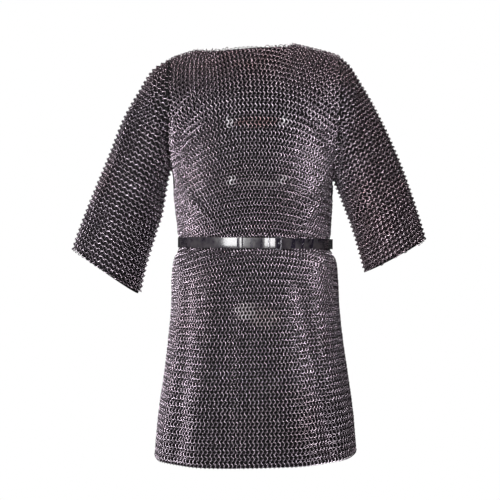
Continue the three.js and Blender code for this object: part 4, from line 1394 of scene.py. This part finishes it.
def circles(tree, place, shift, cell):
    """1 on the wires of one set of far rings, and 0 between them."""
    moved = vector_node(tree, "ADD", place, (shift, shift, 0))
    centred = vector_node(tree, "SUBTRACT", vector_node(tree, "FRACTION", moved), (0.5, 0.5, 0))
    sized = vector_node(tree, "MULTIPLY", centred, (*cell, 0))
    far = operation_node(tree, "ShaderNodeVectorMath", "LENGTH", [sized]).outputs["Value"]
    off = math_node(tree, "ABSOLUTE", math_node(tree, "SUBTRACT", far, 1.0))
    return remap(tree, off, *WIRE_EDGE, 1, 0)


def weave_shadow(name, cell):
    material, tree, shader = new_finish(name, Specular_IOR_Level=0.1)
    place = tree.nodes.new("ShaderNodeUVMap")
    place.uv_map = "weave"
    soft, fine = add_variation(tree, *SHADOW_NOISE)
    wires = math_node(tree, "MAXIMUM", circles(tree, place.outputs[0], 0.0, cell),
                      circles(tree, place.outputs[0], 0.5, cell))
    lit = math_node(tree, "MULTIPLY", wires, remap(tree, soft, *NOISE_SPAN, SHADOW_LEAST, 1))
    fill(tree, shader, Base_Color=mix_colours(tree, lit, SHADOW_DARK, SHADOW_WIRE),
         Roughness=remap(tree, fine, *NOISE_SPAN, *SHADOW_ROUGHNESS))
    add_bump(tree, shader, wires, *SHADOW_BUMP)
    return material


# %% The leather and the plated steel
LEATHER_DARK = (0.009, 0.007, 0.013, 1)
LEATHER_LIGHT = (0.019, 0.015, 0.026, 1)
LEATHER_WORN = (0.055, 0.050, 0.050, 1)
PLATED_DARK = (0.22, 0.21, 0.24, 1)
PLATED_LIGHT = (0.38, 0.37, 0.41, 1)
LEATHER_NOISE = (60, 1400)
LEATHER_ROUGHNESS = (0.17, 0.27)
LEATHER_BUMP = (0.06 * MM, 0.5)
EDGE_WORN = (0.86, 1.0, 0, 1)        # share of the way to the edge from and to, and wear from and to
WORN_PATCHES = (0.35, 0.65, 0.2, 1)  # soft noise from and to, and what it makes of the wear
GRAIN_SCALE = 900
PLATED_NOISE = (200, 2600)
PLATED_ROUGHNESS = (0.12, 0.28)
PLATED_BUMP = (0.02 * MM, 0.4)


def belt_leather():
    material, tree, shader = new_finish("strap_leather", Specular_IOR_Level=0.5, Coat_Weight=0.30,
                                        Coat_Roughness=0.08)
    soft, fine = add_variation(tree, *LEATHER_NOISE)
    worn = math_node(tree, "MULTIPLY", remap(tree, carried(tree, "edge"), *EDGE_WORN),
                     remap(tree, soft, *WORN_PATCHES))
    colour = mix_colours(tree, remap(tree, soft, *NOISE_SPAN, 0, 1), LEATHER_DARK, LEATHER_LIGHT)
    colour = mix_colours(tree, worn, colour, LEATHER_WORN)
    fill(tree, shader, Base_Color=colour, Roughness=remap(tree, soft, *NOISE_SPAN, *LEATHER_ROUGHNESS))
    place = tree.nodes.new("ShaderNodeTexCoord").outputs["Object"]
    creases = node(tree, "ShaderNodeTexVoronoi", Vector=place, Scale=GRAIN_SCALE)
    creases.feature = "DISTANCE_TO_EDGE"
    grain = math_node(tree, "ADD", math_node(tree, "MULTIPLY", fine, 0.5), creases.outputs["Distance"])
    add_bump(tree, shader, grain, *LEATHER_BUMP)
    return material


def buckle_steel():
    material, tree, shader = new_finish("buckle_steel", Metallic=1.0)
    soft, fine = add_variation(tree, *PLATED_NOISE)
    fill(tree, shader, Base_Color=mix_colours(tree, soft, PLATED_DARK, PLATED_LIGHT),
         Roughness=remap(tree, fine, *NOISE_SPAN, *PLATED_ROUGHNESS))
    add_bump(tree, shader, fine, *PLATED_BUMP)
    return material


# %% Give the finishes to the pieces
steel = ring_steel()
leather = belt_leather()
plated = buckle_steel()
BODY_CELL = (8.4 * MM / RING_RADIUS, 16.6 * MM / RING_RADIUS)
SLEEVE_CELL = (12.2 * MM / RING_RADIUS, 11.0 * MM / RING_RADIUS)
body_shadow = weave_shadow("body_weave_shadow", BODY_CELL)
sleeve_shadow = weave_shadow("sleeve_weave_shadow", SLEEVE_CELL)
for piece, _ in ring_pieces:
    piece.data.materials.append(steel)
for name, piece in sheets.items():
    piece.data.materials.append(sleeve_shadow if name.startswith("sleeve") else body_shadow)
# Each piece of the belt: its finish, the solid it replaces and its slot.
BELT_PIECES = [
    (strap, leather, "belt_strap", "belt_leather"),
    (keeper, leather, "belt_keeper", "belt_leather"),
    (buckle, plated, "buckle_frame", "buckle_metal"),
    (prong, plated, "buckle_prong", "buckle_metal"),
]
print("belt pieces reach from and to:")
for piece, finish, _, _ in BELT_PIECES:
    piece.data.materials.clear()
    piece.data.materials.append(finish)
    reach = corners_of(piece)
    print(" ", piece.name, reach.min(axis=0).round(4), reach.max(axis=0).round(4))
print("finishes:", [finish.name for finish in (steel, body_shadow, sleeve_shadow, leather, plated)])

# %% [markdown]
# ## Joining the frame
# Each new piece rides on the frame's one body and stands for the solid it replaces, which is
# hidden. The sheets have their rings on them. Mail is not cut from cloth: it is knitted to shape.

# %% Ride and replace
for name, piece in sheets.items():
    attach(piece, "root")
    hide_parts(*PARTS[name])
for piece, _ in ring_pieces:
    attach(piece, "root")
for piece, _, replaced, slot in BELT_PIECES:
    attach(piece, "root")
    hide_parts(replaced)

# %% [markdown]
# ## Floor and light
# The light is a tall soft box at the left of the camera, which lays one broad band of gloss on the
# leather, and a pale room all round. A weaker box behind keeps the back from going black. The
# floor is plain, where the wearer would stand.

# %% Set the floor and the lights
FLOOR_Z = -1.42
FLOOR_RADIUS = 1.6
# Each light: its azimuth in degrees, its height and distance, its size and its power.
LIGHTS = {
    "key": (-17, 0.1, 3.0, (1.05, 2.2), 145),
    "top": (-40, 2.6, 1.6, (1.6, 1.6), 20),
    "back": (170, 0.6, 3.0, (1.6, 1.6), 60),
}
LIGHTS_AIM = Vector((0, 0, -0.45))
FLOOR_SIDES = 96
ROOM_LIGHT, ROOM_SEEN = 0.05, 1.0

deselect_all()
bpy.ops.mesh.primitive_circle_add(
    vertices=FLOOR_SIDES, radius=FLOOR_RADIUS, fill_type="NGON", location=(0, 0, FLOOR_Z))
floor = bpy.context.object
floor.name = "floor"
floor_finish = new_finish("pale_floor", Base_Color=(0.86, 0.86, 0.87, 1), Roughness=0.7)[0]
floor.data.materials.append(floor_finish)


def soft_box(name, azimuth, height, distance, size, power):
    data = bpy.data.lights.new(name, "AREA")
    data.shape = "RECTANGLE"
    data.size, data.size_y = size
    data.energy = power
    light = bpy.data.objects.new(name, data)
    turn = math.radians(azimuth)
    light.location = (math.sin(turn) * distance, -math.cos(turn) * distance, height)
    way = LIGHTS_AIM - light.location
    light.rotation_euler = way.to_track_quat("-Z", "Y").to_euler()
    bpy.context.collection.objects.link(light)


for name, settings in LIGHTS.items():
    soft_box(name, *settings)

world = bpy.data.worlds.new("pale_room")
world.use_nodes = True
bpy.context.scene.world = world
background = world.node_tree.nodes["Background"]
background.inputs["Color"].default_value = (1, 1, 1, 1)
seen = world.node_tree.nodes.new("ShaderNodeLightPath").outputs["Is Camera Ray"]
strength = remap(world.node_tree, seen, 0, 1, ROOM_LIGHT, ROOM_SEEN)
world.node_tree.links.new(strength, background.inputs["Strength"])
bpy.context.scene.view_settings.view_transform = "Standard"
